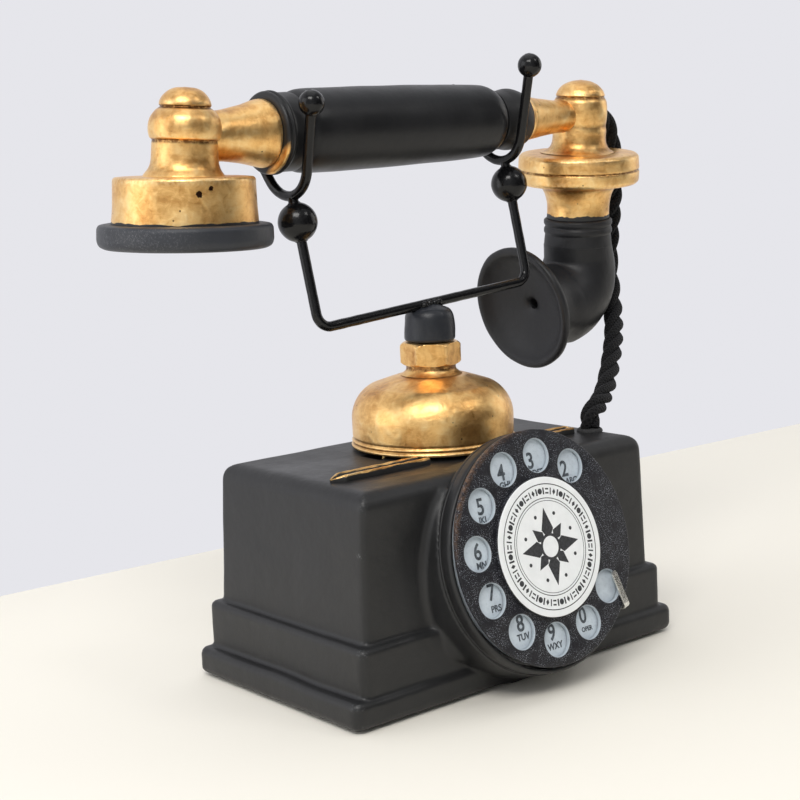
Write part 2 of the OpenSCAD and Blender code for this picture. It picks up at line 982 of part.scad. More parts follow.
// the ball and neck that stand on the receiver
module hub_solid() {
    rotate_extrude()
        polygon(concat(
            [[0, -11]], [[12.2, -11]],
            [[10.6, -9.4], [10, -7], [9.9, -4.4], [10.4, -2.6], [11.2, -1.6]],
            arc(0, 2.9, 11.5, -12, 34, 6),
            [[8.2, 9.3], [8.5, 10.2]],
            arc(0, 8.6, 8.1, 12, 64, 5), [[1.6, 16.2], [0, 16.3]]));
}

module receiver_hub() {
    color("#c08c3e")
        at_handset()
            difference() {
                translate([left_x, 0, 0]) hub_solid();
                along_x() rod(rod_r, left_x + 4, left_x + 20);
            }
}

module receiver_shell() {
    color("#b9893f")
        at_handset()
            translate([left_x, 0, 0])
                rotate_extrude()
                    polygon(concat(
                        [[0, -11], [shell_r - 3.2, -11], [shell_r - 1.2, -11.8], [shell_r - 0.2, -13.4]],
                        [[shell_r, -24.2], [shell_r - 1.6, -24.2], [shell_r - 1.6, -14], [0, -14]]));
}

module receiver_magnet() {
    color("#6e7178")
        at_handset()
            translate([left_x, 0, 0]) {
                tube(15, 9, -18, -14);
                for (s = [-1, 1])
                    translate([s * 5, 0, 0])
                        rod(3.4, -22.6, -14);
                rod(shell_r - 1.8, -24.2, -23.8);
            }
}

module ear_cap() {
    color("#17181a")
        at_handset()
            translate([left_x, 0, 0])
                rotate_extrude()
                    polygon([[4.2, -25.4], [4.2, -27.4], [11, -28], [19, -30.8], [ear_r - 1.6, -30.8],
                        [ear_r, -29.4], [ear_r - 0.1, -25.6], [ear_r - 1.2, -24.4], [shell_r + 1, -23.4],
                        [shell_r, -23.4], [shell_r, -24.2], [14, -24.2], [12, -25.4]]);
}

module transmitter_arm() {
    face = right_fork_x + groove_half + 5.4;
    color("#b07c34")
        at_handset()
            difference() {
                along_x()
                    rotate_extrude()
                        polygon([[0, face], [10.9, face], [10.9, face + 0.8], [8.4, face + 1.6],
                            [7.9, face + 6], [7.9, right_x - 12], [8.3, right_x - 2], [0, right_x - 2]]);
                along_x() rod(rod_r + 0.4, 0, 100);
                translate([right_x, 0, 0]) right_hub_solid();
            }
}

module right_hub_solid() {
    rotate_extrude()
        polygon(concat(
            [[0, -16], [14.5, -16], [12.6, -13.4], [10.8, -10], [10, -7], [10.2, -4.6], [9.6, -3.4]],
            arc(0, 1.2, 10.1, -22, 30, 6), [[8.2, 6.6]],
            arc(0, 4.4, 8.6, 20, 90, 7)));
}

module transmitter_hub() {
    color("#c08c3e")
        at_handset()
            difference() {
                translate([right_x, 0, 0]) right_hub_solid();
                along_x() rod(rod_r, right_x - 20, right_x - 4);
            }
}

module transmitter_shell() {
    color("#b9893f")
        at_handset()
            translate([right_x, 0, 0])
                difference() {
                    rotate_extrude()
                        polygon([[0, -16], [flange_r - 3, -16], [flange_r - 0.8, -17.2], [flange_r, -18.6],
                            [flange_r, -21.6], [flange_r - 0.6, -22], [flange_r, -22.4],
                            [flange_r - 0.6, -24], [flange_r - 4, -25], [14, -26], [12, -29],
                            [10.8, -33], [11.4, -38], [0, -38]]);
                    rod(bore_r, -39, -22);
                    rod(17.4, -23.6, -18.4);
                }
}

module carbon_capsule() {
    color("#9a9c9e")
        at_handset()
            translate([right_x, 0, 0])
                rod(17.2, -23.5, -18.4);
}

module threaded_collar() {
    color("#17181a")
        at_handset()
            translate([right_x, 0, 0])
                rotate_extrude()
                    polygon(concat(
                        [[bore_r, elbow_z + 4], [bore_r, -38], [12.2, -38]],
                        [for (k = [0:4]) each [[neck_r, -38.6 - 2 * k], [neck_r, -39.4 - 2 * k],
                            [neck_r - 0.7, -40 - 2 * k]]],
                        [[neck_r - 0.1, elbow_z + 4]]));
}

module elbow_solid(r, extra = 0) {
    translate([right_x, 0, 0])
        rod(r - shy, elbow_z - lap, elbow_z + 4 + extra);
    translate([right_x - elbow_r, 0, elbow_z])
        rotate([90, 0, 0])
            rotate(-elbow_turn)
                rotate_extrude(angle = elbow_turn)
                    translate([elbow_r, 0])
                        circle(r);
}

module at_horn() {
    translate([right_x - elbow_r + elbow_r * cos(elbow_turn), 0, elbow_z - elbow_r * sin(elbow_turn)])
        rotate([0, -90 - (90 - elbow_turn), 0])
            children();
}

module elbow_horn() {
    color("#131416")
        at_handset()
            difference() {
                union() {
                    elbow_solid(neck_r);
                    at_horn()
                        rotate_extrude()
                            polygon([[0, -lap], [neck_r - shy, -lap], [neck_r - 0.2, 5], [13.6, 9.4],
                                [16.8, 12.8], [horn_r - 1.4, 14.8], [horn_r, 15.4], [horn_r, horn_l],
                                [horn_r - 1.6, horn_l + 0.4], [0, horn_l + 0.4]]);
                }
                elbow_solid(bore_r, 1);
                at_horn()
                    rotate_extrude()
                        polygon([[0, -lap], [bore_r - shy, -lap], [bore_r, 9], [8, 11], [13, 13.2],
                            [17.5, 15.6], [horn_r - 3, horn_l - 0.6], [horn_r - 2.4, horn_l + 2],
                            [0, horn_l + 2]]);
            }
}

module tie_rod() {
    color("#a9a9ac")
        at_handset()
            along_x()
                rod(rod_r, left_x + 8, right_x - 8);
}

// ---- cord ----

module cord() {
    color("#18181a")
        swept_tube(through(cord_route, 2), cord_d / 2, 10);
}

housing();
top_rail();
cord_gland();
base_plate();
base_screws();
rubber_feet();
gong();
gong_standoff();
gong_nut();
plunger_bush();
dial_cup();
number_plate();
finger_stop();
dial_frame();
dial_bridge();
dial_screws();
spring_barrel();
return_spring();
pulse_contacts();
finger_wheel();
card_holder();
centre_card();
dial_shaft();
main_gear();
governor_shaft();
pulse_cam();
governor_wheel();
ringer_bracket();
ringer_cores();
ringer_coils();
hammer_pivot();
hammer_arm();
armature();
hook_bracket();
hook_contacts();
hook_spring();
cradle_post();
cradle_wire();
cradle_balls();
fork_tips();
induction_coil();
condenser();
terminal_block();
terminal_screws();
grip_barrel();
left_collar();
right_collar();
receiver_arm();
receiver_hub();
receiver_shell();
receiver_magnet();
ear_cap();
transmitter_arm();
transmitter_hub();
transmitter_shell();
carbon_capsule();
threaded_collar();
elbow_horn();
tie_rod();
cord();
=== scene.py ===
import json
import math
import bmesh
import bpy
import numpy as np
from mathutils import Matrix, Vector, noise


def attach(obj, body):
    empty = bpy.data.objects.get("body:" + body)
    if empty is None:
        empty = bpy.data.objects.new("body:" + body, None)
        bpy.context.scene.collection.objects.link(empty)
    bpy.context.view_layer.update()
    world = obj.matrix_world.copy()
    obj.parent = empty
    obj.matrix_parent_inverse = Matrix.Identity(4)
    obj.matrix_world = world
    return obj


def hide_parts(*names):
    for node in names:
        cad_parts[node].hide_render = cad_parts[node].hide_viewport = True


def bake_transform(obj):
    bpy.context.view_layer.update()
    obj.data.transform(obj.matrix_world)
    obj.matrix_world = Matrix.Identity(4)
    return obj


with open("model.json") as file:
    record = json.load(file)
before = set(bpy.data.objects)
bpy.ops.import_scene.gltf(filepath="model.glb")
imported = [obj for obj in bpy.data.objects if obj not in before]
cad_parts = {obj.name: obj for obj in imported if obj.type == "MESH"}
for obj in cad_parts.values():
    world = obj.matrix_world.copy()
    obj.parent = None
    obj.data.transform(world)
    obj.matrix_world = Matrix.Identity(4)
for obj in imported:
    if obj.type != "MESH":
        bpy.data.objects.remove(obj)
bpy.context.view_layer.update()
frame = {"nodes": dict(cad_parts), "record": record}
MM = 0.001
ctx = bpy.context


def sind(a):
    return math.sin(math.radians(a))


def cosd(a):
    return math.cos(math.radians(a))


def turn(angle, axis):
    return Matrix.Rotation(math.radians(angle), 4, axis)


def move(x, y, z):
    return Matrix.Translation((x, y, z))


# ---------------------------------------------------------------- frames, in millimetres
WORLD = Matrix.Identity(4)
DIAL = move(0, -52.2, 46.6) @ turn(90 - 14.3, "X")
DIAL_DROP = 1.2  # how far the drum and its rim sit below the dial's middle
RIM = DIAL @ move(0, -DIAL_DROP, 0)
BELL = move(3.6, 4.7, 0)
CORD_HOLE = move(56.5, -19, 0)
CRADLE = move(3.6, 4.7, 121.1) @ turn(-4.52, "Y") @ turn(-8.85, "X")
HANDSET = move(1.9, 13.9, 180.9) @ turn(-0.86, "Y") @ turn(4.65, "X")
LEFT = HANDSET @ move(-86.9, -0.5, 0) @ turn(3.95, "Y") @ turn(-2.46, "X")
CUP = HANDSET @ move(-87.3, -0.15, -0.8) @ turn(2.35, "Y") @ turn(-3.84, "X")
RIGHT = HANDSET @ move(87.5, 0, 0)
RIGHT_LOW = RIGHT @ move(-0.5, 0, 0) @ turn(-1.8, "Y")
GRIP = HANDSET @ turn(90, "Y")

# ---------------------------------------------------------------- camera
FOCAL_PX, FRAME_PX, SENSOR_MM = 1640.77, 800, 36
cam = bpy.data.objects.new("camera", bpy.data.cameras.new("camera"))
ctx.scene.collection.objects.link(cam)
ctx.scene.camera = cam
az, el, roll = math.radians(40.31), math.radians(9.45), math.radians(-2.1)
ahead = Vector((math.sin(az) * math.cos(el), math.cos(az) * math.cos(el), -math.sin(el)))
right = ahead.cross(Vector((0, 0, 1))).normalized()
up = right.cross(ahead)
right, up = right * math.cos(roll) + up * math.sin(roll), up * math.cos(roll) - right * math.sin(roll)
cam.matrix_world = move(-0.3634, -0.4109, 0.1805) @ Matrix((right, up, -ahead)).transposed().to_4x4()
cam.data.sensor_width = SENSOR_MM
cam.data.lens = SENSOR_MM * FOCAL_PX / FRAME_PX
cam.data.clip_start, cam.data.clip_end = 0.02, 20

# ---------------------------------------------------------------- shader helpers


class Shade:
    """A node tree built in few words: a call makes a node, sets or links its inputs, and gives its output."""

    def __init__(self, owner):
        self.owner = bpy.data.materials.new(owner) if isinstance(owner, str) else owner
        self.owner.use_nodes = True
        self.t = self.owner.node_tree
        self.t.nodes.clear()

    def put(self, socket, v):
        if isinstance(v, bpy.types.NodeSocket):
            self.t.links.new(v, socket)
        elif isinstance(v, tuple) and len(socket.default_value) > len(v):
            socket.default_value = (*v, 1)
        else:
            socket.default_value = v

    def node(self, kind, ins=None, out=0, **props):
        n = self.t.nodes.new("ShaderNode" + kind)
        for k, v in props.items():
            setattr(n, k, v)
        for k, v in (ins or {}).items():
            self.put(n.inputs[k], v)
        return n.outputs[out]

    def end(self, kind, shader):
        self.put(self.t.nodes.new("ShaderNodeOutput" + kind).inputs[0], shader)
        return self.owner

    def done(self, **ins):
        return self.end("Material", self.node("BsdfPrincipled", {k.replace("_", " "): v for k, v in ins.items()}))

    def own(self, stretch=(1, 1, 1)):
        """The piece's own coordinates in millimetres, which go with it when it moves."""
        v = self.node("Attribute", out="Vector", attribute_name="own")
        return self.node("Mapping", {"Vector": v, "Scale": stretch})

    def frame_mm(self):
        return self.node("Mapping", {"Vector": self.node("TexCoord", out="Object"), "Scale": (1000, 1000, 1000)})

    def painted(self, key):
        """A value from 0 to 1 that the mesh carries."""
        return self.node("Attribute", out="Fac", attribute_name=key)

    def axis(self, p, name):
        return self.node("SeparateXYZ", {0: p}, out=name)

    def noise(self, vec, scale, detail=3, rough=0.55, warp=0.0):
        return self.node("TexNoise", {"Vector": vec, "Scale": scale, "Detail": detail, "Roughness": rough,
                                      "Distortion": warp})

    def cells(self, vec, scale, feature="F1"):
        return self.node("TexVoronoi", {"Vector": vec, "Scale": scale}, out="Distance", feature=feature)

    def math(self, op, a, b=0.0, clamp=False):
        return self.node("Math", {0: a, 1: b}, operation=op, use_clamp=clamp)

    def mul(self, a, b):
        return self.math("MULTIPLY", a, b)

    def add(self, a, b):
        return self.math("ADD", a, b)

    def sub(self, a, b):
        return self.math("SUBTRACT", a, b)

    def mask(self, a, b):
        """The product of two masks, kept between 0 and 1."""
        return self.math("MULTIPLY", a, b, True)

    def fit(self, v, lo, hi, to=(0.0, 1.0)):
        return self.node("MapRange", {"Value": v, "From Min": lo, "From Max": hi, "To Min": to[0], "To Max": to[1]},
                         clamp=True)

    def ramp(self, fac, stops):
        n = self.t.nodes.new("ShaderNodeValToRGB")
        els = n.color_ramp.elements
        while len(els) < len(stops):
            els.new(0.5)
        for e, (p, c) in zip(els, stops):
            e.position, e.color = p, (*c, 1)
        self.put(n.inputs[0], fac)
        return n.outputs[0]

    def mix(self, fac, a, b):
        """A mix of two colours."""
        return self.node("Mix", {0: fac, 6: a, 7: b}, 2, data_type="RGBA")

    def mixf(self, fac, a, b):
        """A mix of two numbers."""
        return self.node("Mix", {0: fac, 2: a, 3: b})

    def bumps(self, *layers, after=None):
        """Bumps of (height, depth in millimetres), each laid on the one before."""
        for height, mm in layers:
            ins = {"Height": height, "Distance": mm * MM, "Strength": 1.0}
            if after is not None:
                ins["Normal"] = after
            after = self.node("Bump", ins)
        return after


# ---------------------------------------------------------------- materials
METAL = 0.93
COLLAR_BLACK = (0.013, 0.013, 0.014)


def black_look(s, p, base=(0.014, 0.0142, 0.0150), rough=0.43, lumps=1.0):
    """Colour, roughness and normal of the hand-brushed satin black."""
    big, fine, grit = s.noise(p, 0.045, 3), s.noise(p, 0.55, 4, 0.6), s.noise(p, 3.2, 2)
    dark, light, rubbed = (tuple(k * c for c in base) for k in (0.8, 1.2, 1.8))
    col = s.mix(s.fit(big, 0.35, 0.7), dark, light)
    col = s.mix(s.fit(fine, 0.62, 0.8, (0, 0.3)), col, rubbed)
    r = s.fit(s.add(big, s.mul(fine, 0.4)), 0.4, 1.0, (rough - 0.07, rough + 0.1))
    return col, r, s.bumps((big, 0.6 * lumps), (fine, 0.07 * lumps), (grit, 0.015))


def inside(s, p, *limits):
    """A soft mask: 1 where each named coordinate lies between its two limits."""
    m = 1.0
    for axis, lo, hi, soft in limits:
        v = s.axis(p, axis)
        m = s.mul(s.mul(m, s.fit(v, lo - soft, lo + soft)), s.fit(v, hi + soft, hi - soft))
    return m


def past(axis, at, sign, wander=1.2, scale=0.16, soft=0.08):
    """A mask that is 1 past a wandering painted border across an axis."""
    def where(s, p):
        w = s.mul(s.sub(s.noise(p, scale, 3, 0.6), 0.5), 2 * wander)
        return s.fit(s.mul(s.add(s.sub(s.axis(p, axis), at), w), sign), -soft, soft)
    return where


def left_patch(s, p):
    """Where the gold runs over the left ring's lower front."""
    low = s.fit(s.add(s.mul(s.axis(p, "X"), 0.75), s.mul(s.axis(p, "Y"), -0.66)), 9.6, 11.2)
    near = s.fit(s.add(s.axis(p, "Z"), s.mul(s.noise(p, 0.3, 3), 2.0)), -54.7, -55.5)
    return s.mask(low, near)


def black_enamel(name, cast=False):
    """The body's satin black, darkened in its creases as painted shade; on the casting, with gold dragged off the rail
    and scuffs on the near corner.
    """
    s = Shade(name)
    p = s.own()
    col, r, n = black_look(s, p)
    point = s.node("NewGeometry", out="Pointiness")
    # painted shade: where the surface is hollow, in creases and inner corners, the black is darkened nearly to black
    col = s.mix(s.fit(point, 0.475, 0.42, (0, 0.8)), col, (0.004, 0.004, 0.0045))
    if cast:
        scuff = s.mul(s.fit(point, 0.515, 0.55), s.fit(s.noise(p, 1.3, 5, 0.8), 0.52, 0.66))
        scuff = s.mask(scuff, inside(s, p, ("X", -90, -60, 3), ("Y", -60, -33, 3)))
        col = s.mix(s.mul(scuff, 0.6), col, (0.30, 0.31, 0.32))
        drag = s.noise(s.own((0.12, 0.9, 0.9)), 0.9, 4, 0.6)
        smear = s.mask(inside(s, p, ("X", -47, -24, 6), ("Y", -27, -19.5, 1.2), ("Z", 70.2, 80, 1.2)),
                       s.fit(drag, 0.38, 0.66))
        col = s.mix(s.mul(smear, 0.75), col, (0.17, 0.095, 0.040))
        r = s.mixf(smear, r, 0.38)
    return s.done(Base_Color=col, Roughness=r, Normal=n, Specular_IOR_Level=0.45)


def gold_parts(s, p, painted_light=0.0):
    """Colour, roughness and normal of the brushed-on antique gold over its brown ground; painted_light adds painted
    shade in the hollows and painted highlights on the ridges.
    """
    broad, patch = s.noise(p, 0.085, 3, 0.55, 0.5), s.noise(p, 0.30, 5, 0.62, 0.8)
    strokes, fleck = s.noise(s.own((0.5, 0.5, 1.6)), 0.9, 4, 0.65, 0.4), s.noise(p, 4.5, 3, 0.7)
    tone = s.add(s.mul(broad, 0.50), s.add(s.mul(patch, 0.38), s.mul(strokes, 0.12)))
    col = s.ramp(tone, [(0.34, (0.48, 0.22, 0.060)), (0.44, (0.72, 0.39, 0.125)), (0.52, (0.88, 0.54, 0.20)),
                        (0.66, (0.98, 0.70, 0.33))])
    col = s.mix(s.fit(fleck, 0.60, 0.74, (0, 0.4)), col, (0.95, 0.72, 0.38))
    if painted_light:
        # painted shade darkens the hollows to brown-black, and a painted highlight brightens the ridges
        hollow_shade = s.mask(s.painted("hollow"), s.fit(s.noise(p, 0.7, 4, 0.7), 0.25, 0.55))
        col = s.mix(s.mul(hollow_shade, painted_light), col, (0.11, 0.040, 0.012))
        ridge_highlight = s.mask(s.painted("ridge"), s.fit(s.noise(p, 1.1, 3), 0.35, 0.62))
        col = s.mix(s.mul(ridge_highlight, 0.5), col, (1.0, 0.78, 0.42))
    pit = s.mask(s.fit(s.cells(p, 0.27), 0.10, 0.05), s.fit(s.noise(p, 0.09, 2), 0.52, 0.58))
    col = s.mix(s.mul(pit, 0.9), col, (0.05, 0.02, 0.008))
    r = s.fit(s.add(s.mul(patch, 0.6), s.mul(fleck, 0.5)), 0.35, 0.75, (0.26, 0.42))
    return col, r, s.bumps((broad, 0.45), (patch, 0.09), (strokes, 0.04), (fleck, 0.035))


def antique_gold(name, black_where=None, chips=(), painted_light=0.9):
    """The gold, with the black of the next piece brushed over it where black_where(shade, own) is 1."""
    s = Shade(name)
    p = s.own()
    col, r, n = gold_parts(s, p, painted_light)
    for x, y, z, size in chips:
        off = s.node("VectorMath", {0: p, 1: (x, y, z)}, "Value", operation="DISTANCE")
        ragged = s.add(off, s.mul(s.noise(p, 1.3, 3), 1.2))
        deep = s.fit(ragged, size + 0.7, size + 0.5)
        col = s.mix(deep, col, (0.03, 0.012, 0.006))
        n = s.bumps((deep, -0.5), after=n)
    metal = METAL
    if black_where:
        m = black_where(s, p)
        black, black_r, _ = black_look(s, p)
        col, r = s.mix(m, col, black), s.mixf(m, r, black_r)
        metal = s.math("SUBTRACT", METAL, s.mul(m, METAL), True)
    return s.done(Base_Color=col, Metallic=metal, Roughness=r, Normal=n)


def grip_black(name, base=(0.010, 0.0102, 0.0115), rough=0.36, lumps=0.7, gold_where=None):
    """The handset's black, with gold over it where gold_where(shade, own) is 1."""
    s = Shade(name)
    p = s.own()
    col, r, n = black_look(s, p, base, rough, lumps)
    metal = 0.0
    if gold_where:
        m = gold_where(s, p)
        gold, gold_r, _ = gold_parts(s, p)
        col, r, metal = s.mix(m, col, gold), s.mixf(m, r, gold_r), s.mul(m, METAL)
    return s.done(Base_Color=col, Roughness=r, Normal=n, Metallic=metal, Specular_IOR_Level=0.32)


def dusty_black(name):
    """The ear cap: blue-black, with a chalky bloom on one side."""
    s = Shade(name)
    p = s.own()
    col, r, n = black_look(s, p, (0.020, 0.0225, 0.029), 0.46, 1.0)
    dust = s.mask(s.fit(s.noise(p, 1.5, 6, 0.85), 0.53, 0.66), s.fit(s.axis(p, "X"), -8.0, -27.0))
    col = s.mix(s.mul(dust, 0.5), col, (0.30, 0.30, 0.32))
    return s.done(Base_Color=col, Roughness=s.mixf(dust, r, 0.8), Normal=n)


def wire_black(name):
    s = Shade(name)
    p = s.own()
    a, b = s.noise(p, 0.25, 3), s.noise(p, 1.4, 3, 0.6)
    col = s.mix(s.fit(b, 0.45, 0.7), (0.004, 0.004, 0.0045), (0.008, 0.008, 0.009))
    return s.done(Base_Color=col, Roughness=s.fit(b, 0.3, 0.75, (0.15, 0.24)), Normal=s.bumps((a, 0.15), (b, 0.015)),
                  Specular_IOR_Level=0.30)


def dial_black(name):
    """The finger wheel: pebbled black paint with tiny painted glints, pale in its finger holes, brown on the upper
    left of its rim.
    """
    s = Shade(name)
    p = s.own()
    a, b = s.cells(p, 1.5, "SMOOTH_F1"), s.noise(p, 3.0, 4, 0.7)
    # painted glints: tiny light specks where the pebbled paint catches the light
    glint = s.mask(s.fit(s.noise(p, 3.4, 1, 0.5), 0.63, 0.68), s.fit(s.noise(p, 0.2, 2), 0.36, 0.52))
    col = s.mix(s.fit(b, 0.4, 0.75), (0.009, 0.009, 0.012), (0.020, 0.020, 0.026))
    col = s.mix(s.mul(glint, 0.75), col, (0.50, 0.53, 0.60))
    x, y = s.axis(p, "X"), s.axis(p, "Y")
    from_middle = s.math("SQRT", s.add(s.mul(x, x), s.mul(y, y)))
    # the rim is coloured brown on its upper left
    upleft = s.fit(s.sub(y, s.mul(x, 0.9)), 34.0, 48.0)
    brown_rim = s.mask(s.mul(s.fit(from_middle, 36.0, 37.8), upleft), s.fit(s.noise(p, 0.6, 4, 0.7), 0.40, 0.6))
    col = s.mix(s.mul(brown_rim, 0.6), col, (0.20, 0.11, 0.06))
    col = s.mix(s.painted("well"), col, (0.46, 0.52, 0.57))
    return s.done(Base_Color=col, Roughness=s.fit(b, 0.35, 0.7, (0.32, 0.48)), Normal=s.bumps((a, 0.10), (b, 0.06)),
                  Specular_IOR_Level=0.32)


def flat_look(name, base, other, rough, scale=0.5, bump=0.03, metal=0.0, coat=0.0, own=True):
    """A quiet finish with a second tone, for plates, cards and the fittings inside."""
    s = Shade(name)
    p = s.own() if own else s.frame_mm()
    a, b = s.noise(p, scale, 4, 0.6), s.noise(p, scale * 6, 3)
    r = s.fit(b, 0.3, 0.7, (rough - 0.06, rough + 0.08))
    return s.done(Base_Color=s.mix(s.fit(a, 0.38, 0.66), base, other), Metallic=metal, Coat_Weight=coat, Roughness=r,
                  Normal=s.bumps((a, bump * 3), (b, bump)))


def gilt_trim(name):
    """The rail's lips: black paint with gold dragged along its edges."""
    s = Shade(name)
    p = s.own()
    col, r, n = black_look(s, p, (0.014, 0.0135, 0.013), 0.42)
    gold, gold_r, _ = gold_parts(s, p)
    wear = s.noise(s.own((0.25, 1.6, 1.6)), 0.9, 4, 0.7)
    m = s.fit(s.add(s.painted("ridge"), s.mul(wear, 0.7)), 0.78, 0.98)
    return s.done(Base_Color=s.mix(m, col, gold), Roughness=s.mixf(m, r, gold_r), Metallic=s.mul(m, 0.9), Normal=n)


def cotton(name):
    """Braided black cotton: threads that run slantwise round each strand, with a soft fuzz."""
    s = Shade(name)
    p = s.own()
    run, round_ = s.mul(s.axis(p, "X"), 5.2), s.mul(s.axis(p, "Y"), 6.2832 * 5)
    weave = s.math("MAXIMUM", s.math("SINE", s.add(run, round_)), s.math("SINE", s.sub(run, round_)))
    fuzz = s.noise(s.frame_mm(), 3.0, 4, 0.7)
    col = s.mix(s.fit(weave, -0.2, 1.0), (0.003, 0.003, 0.0034), (0.010, 0.010, 0.011))
    col = s.mix(s.fit(fuzz, 0.6, 0.8, (0, 0.5)), col, (0.024, 0.024, 0.026))
    return s.done(Base_Color=col, Roughness=0.92, Normal=s.bumps((weave, 0.16), (fuzz, 0.12)), Specular_IOR_Level=0.2,
                  Sheen_Weight=0.12, Sheen_Roughness=0.6, Sheen_Tint=(0.35, 0.35, 0.37))


# each look: the CAD's material slot, then the function that makes it and what the function takes
LOOKS = {
    "black_enamel": ("black_enamel", black_enamel),
    "cast_black": ("black_enamel", black_enamel, True),
    "antique_gold": ("antique_gold", antique_gold),
    # the bell's gold gets half as much painted shade in its hollows as the other gold
    "bell_gold": ("antique_gold", antique_gold, None, (), 0.45),
    "receiver_gold": ("antique_gold", antique_gold, past("Z", -24.4, -1, 1.0, 0.10),
                      ((-8.3, -20.2, -15.6, 0.9), (-4.8, -21.3, -13.9, 0.7))),
    "ferrule_gold": ("antique_gold", antique_gold, past("Z", -36.2, -1, 1.9, 0.12)),
    "black_grip": ("black_grip", grip_black),
    "horn_black": ("black_grip", grip_black, (0.015, 0.0152, 0.017), 0.44, 1.2),
    "left_ring_black": ("black_grip", grip_black, COLLAR_BLACK, 0.40, 1.0, left_patch),
    "right_ring_black": ("black_grip", grip_black, (0.014, 0.014, 0.015), 0.42, 1.0, past("Z", 54.3, 1, 0.7, 0.3)),
    "post_black": ("black_wire", grip_black, (0.018, 0.020, 0.025), 0.34, 1.2),
    "ear_cap_black": ("black_grip", dusty_black),
    "black_wire": ("black_wire", wire_black),
    "dial_black": ("dial_black", dial_black),
    "gilt_trim": ("gilt_trim", gilt_trim),
    "cord_cotton": ("cord_cotton", cotton),
    "plate_enamel": ("plate_enamel", flat_look, (0.50, 0.56, 0.62), (0.60, 0.67, 0.73), 0.30, 0.25, 0.02, 0.0, 0.3),
    "numeral_ink": ("plate_enamel", flat_look, (0.035, 0.042, 0.052), (0.11, 0.13, 0.15), 0.5, 0.9, 0.02),
    "card": ("card", flat_look, (0.84, 0.86, 0.87), (0.89, 0.91, 0.92), 0.50, 0.3, 0.008),
    "ink": ("card", flat_look, (0.020, 0.021, 0.024), (0.045, 0.047, 0.052), 0.55, 1.2, 0.01),
    "bright_steel": ("bright_steel", flat_look, (0.66, 0.65, 0.61), (0.80, 0.79, 0.76), 0.26, 0.6, 0.03, 0.95),
    "rubber": ("rubber", flat_look, (0.018, 0.018, 0.019), (0.030, 0.030, 0.031), 0.8, 0.6, 0.05),
}
made = {}


def look_of(key):
    """One of the shared materials, made when first asked for."""
    if key not in made:
        _, maker, *args = LOOKS[key]
        made[key] = maker(key, *args)
    return made[key]


# ---------------------------------------------------------------- mesh helpers


def linked(name, data):
    o = bpy.data.objects.new(name, data)
    ctx.scene.collection.objects.link(o)
    return o


def mesh_object(name, verts, faces):
    me = bpy.data.meshes.new(name)
    me.from_pydata([tuple(v) for v in verts], [], faces)
    me.validate()
    bm = bmesh.new()
    bm.from_mesh(me)
    bmesh.ops.recalc_face_normals(bm, faces=bm.faces)
    bm.to_mesh(me)
    bm.free()
    return linked(name, me)


def make(name, node, part, frame_mm, body, look, sharp=38, own=None, **painted):
    """A piece from (verts, faces) in a frame of its own, in millimetres, with values painted on its points.

    node is the CAD node that it replaces; body is the one that it rides on.
    """
    pts = np.array([tuple(v) for v in part[0]], float)
    m = np.array(frame_mm)
    o = mesh_object(name, ((pts @ m[:3, :3].T + m[:3, 3]) * MM).tolist(), part[1])
    me = o.data
    a = me.attributes.new("own", "FLOAT_VECTOR", "POINT")
    a.data.foreach_set("vector", np.array(pts if own is None else own, np.float32).ravel())
    for key, values in painted.items():
        me.attributes.new(key, "FLOAT", "POINT").data.foreach_set("value", np.array(values, np.float32))
    me.shade_smooth()
    if sharp:
        me.set_sharp_from_angle(angle=math.radians(sharp))
    me.materials.append(look_of(look))
    if body:
        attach(o, body)
    if node:
        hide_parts(node)
    return o


def evaluated(o, weld=0.0):
    """The object's verts and faces with its modifiers, and the object gone."""
    ctx.view_layer.update()
    me = bpy.data.meshes.new_from_object(o.evaluated_get(ctx.evaluated_depsgraph_get()))
    bm = bmesh.new()
    bm.from_mesh(me)
    if weld:
        bmesh.ops.remove_doubles(bm, verts=bm.verts, dist=weld)
    out = [v.co.copy() for v in bm.verts], [tuple(v.index for v in f.verts) for f in bm.faces]
    bm.free()
    data = o.data
    bpy.data.objects.remove(o)
    bpy.data.meshes.remove(me)
    if isinstance(data, bpy.types.Curve):
        bpy.data.curves.remove(data)
    return out


def join(parts):
    """Several (verts, faces) as one."""
    verts, faces = [], []
    for v, f in parts:
        b = len(verts)
        verts += list(v)
        faces += [tuple(i + b for i in q) for q in f]
    return verts, faces


def walls(rows, n, closed=False):
    """Faces between rings of n points each; closed joins the last ring to the first."""
    return [(i * n + k, i * n + (k + 1) % n, (i + 1) % rows * n + (k + 1) % n, (i + 1) % rows * n + k)
            for i in range(rows if closed else rows - 1) for k in range(n)]


def capped(rows, n):
    """The same with a face over the first ring and one over the last."""
    return walls(rows, n) + [tuple(range(n - 1, -1, -1)), tuple(range((rows - 1) * n, rows * n))]


def circle(r, n, cx=0.0, cy=0.0):
    return [(cx + r * math.cos(2 * math.pi * k / n), cy + r * math.sin(2 * math.pi * k / n)) for k in range(n)]


def arc(cx, cy, r, a0, a1, n):
    return [(cx + r * cosd(a0 + (a1 - a0) * i / n), cy + r * sind(a0 + (a1 - a0) * i / n)) for i in range(n + 1)]


def arc3(centre, u, v, r, a0, a1, n):
    """Points of an arc in the plane of u and v."""
    c, u, v = Vector(centre), Vector(u), Vector(v)
    return [c + (u * x + v * y) * r for x, y in arc(0, 0, 1, a0, a1, n)]


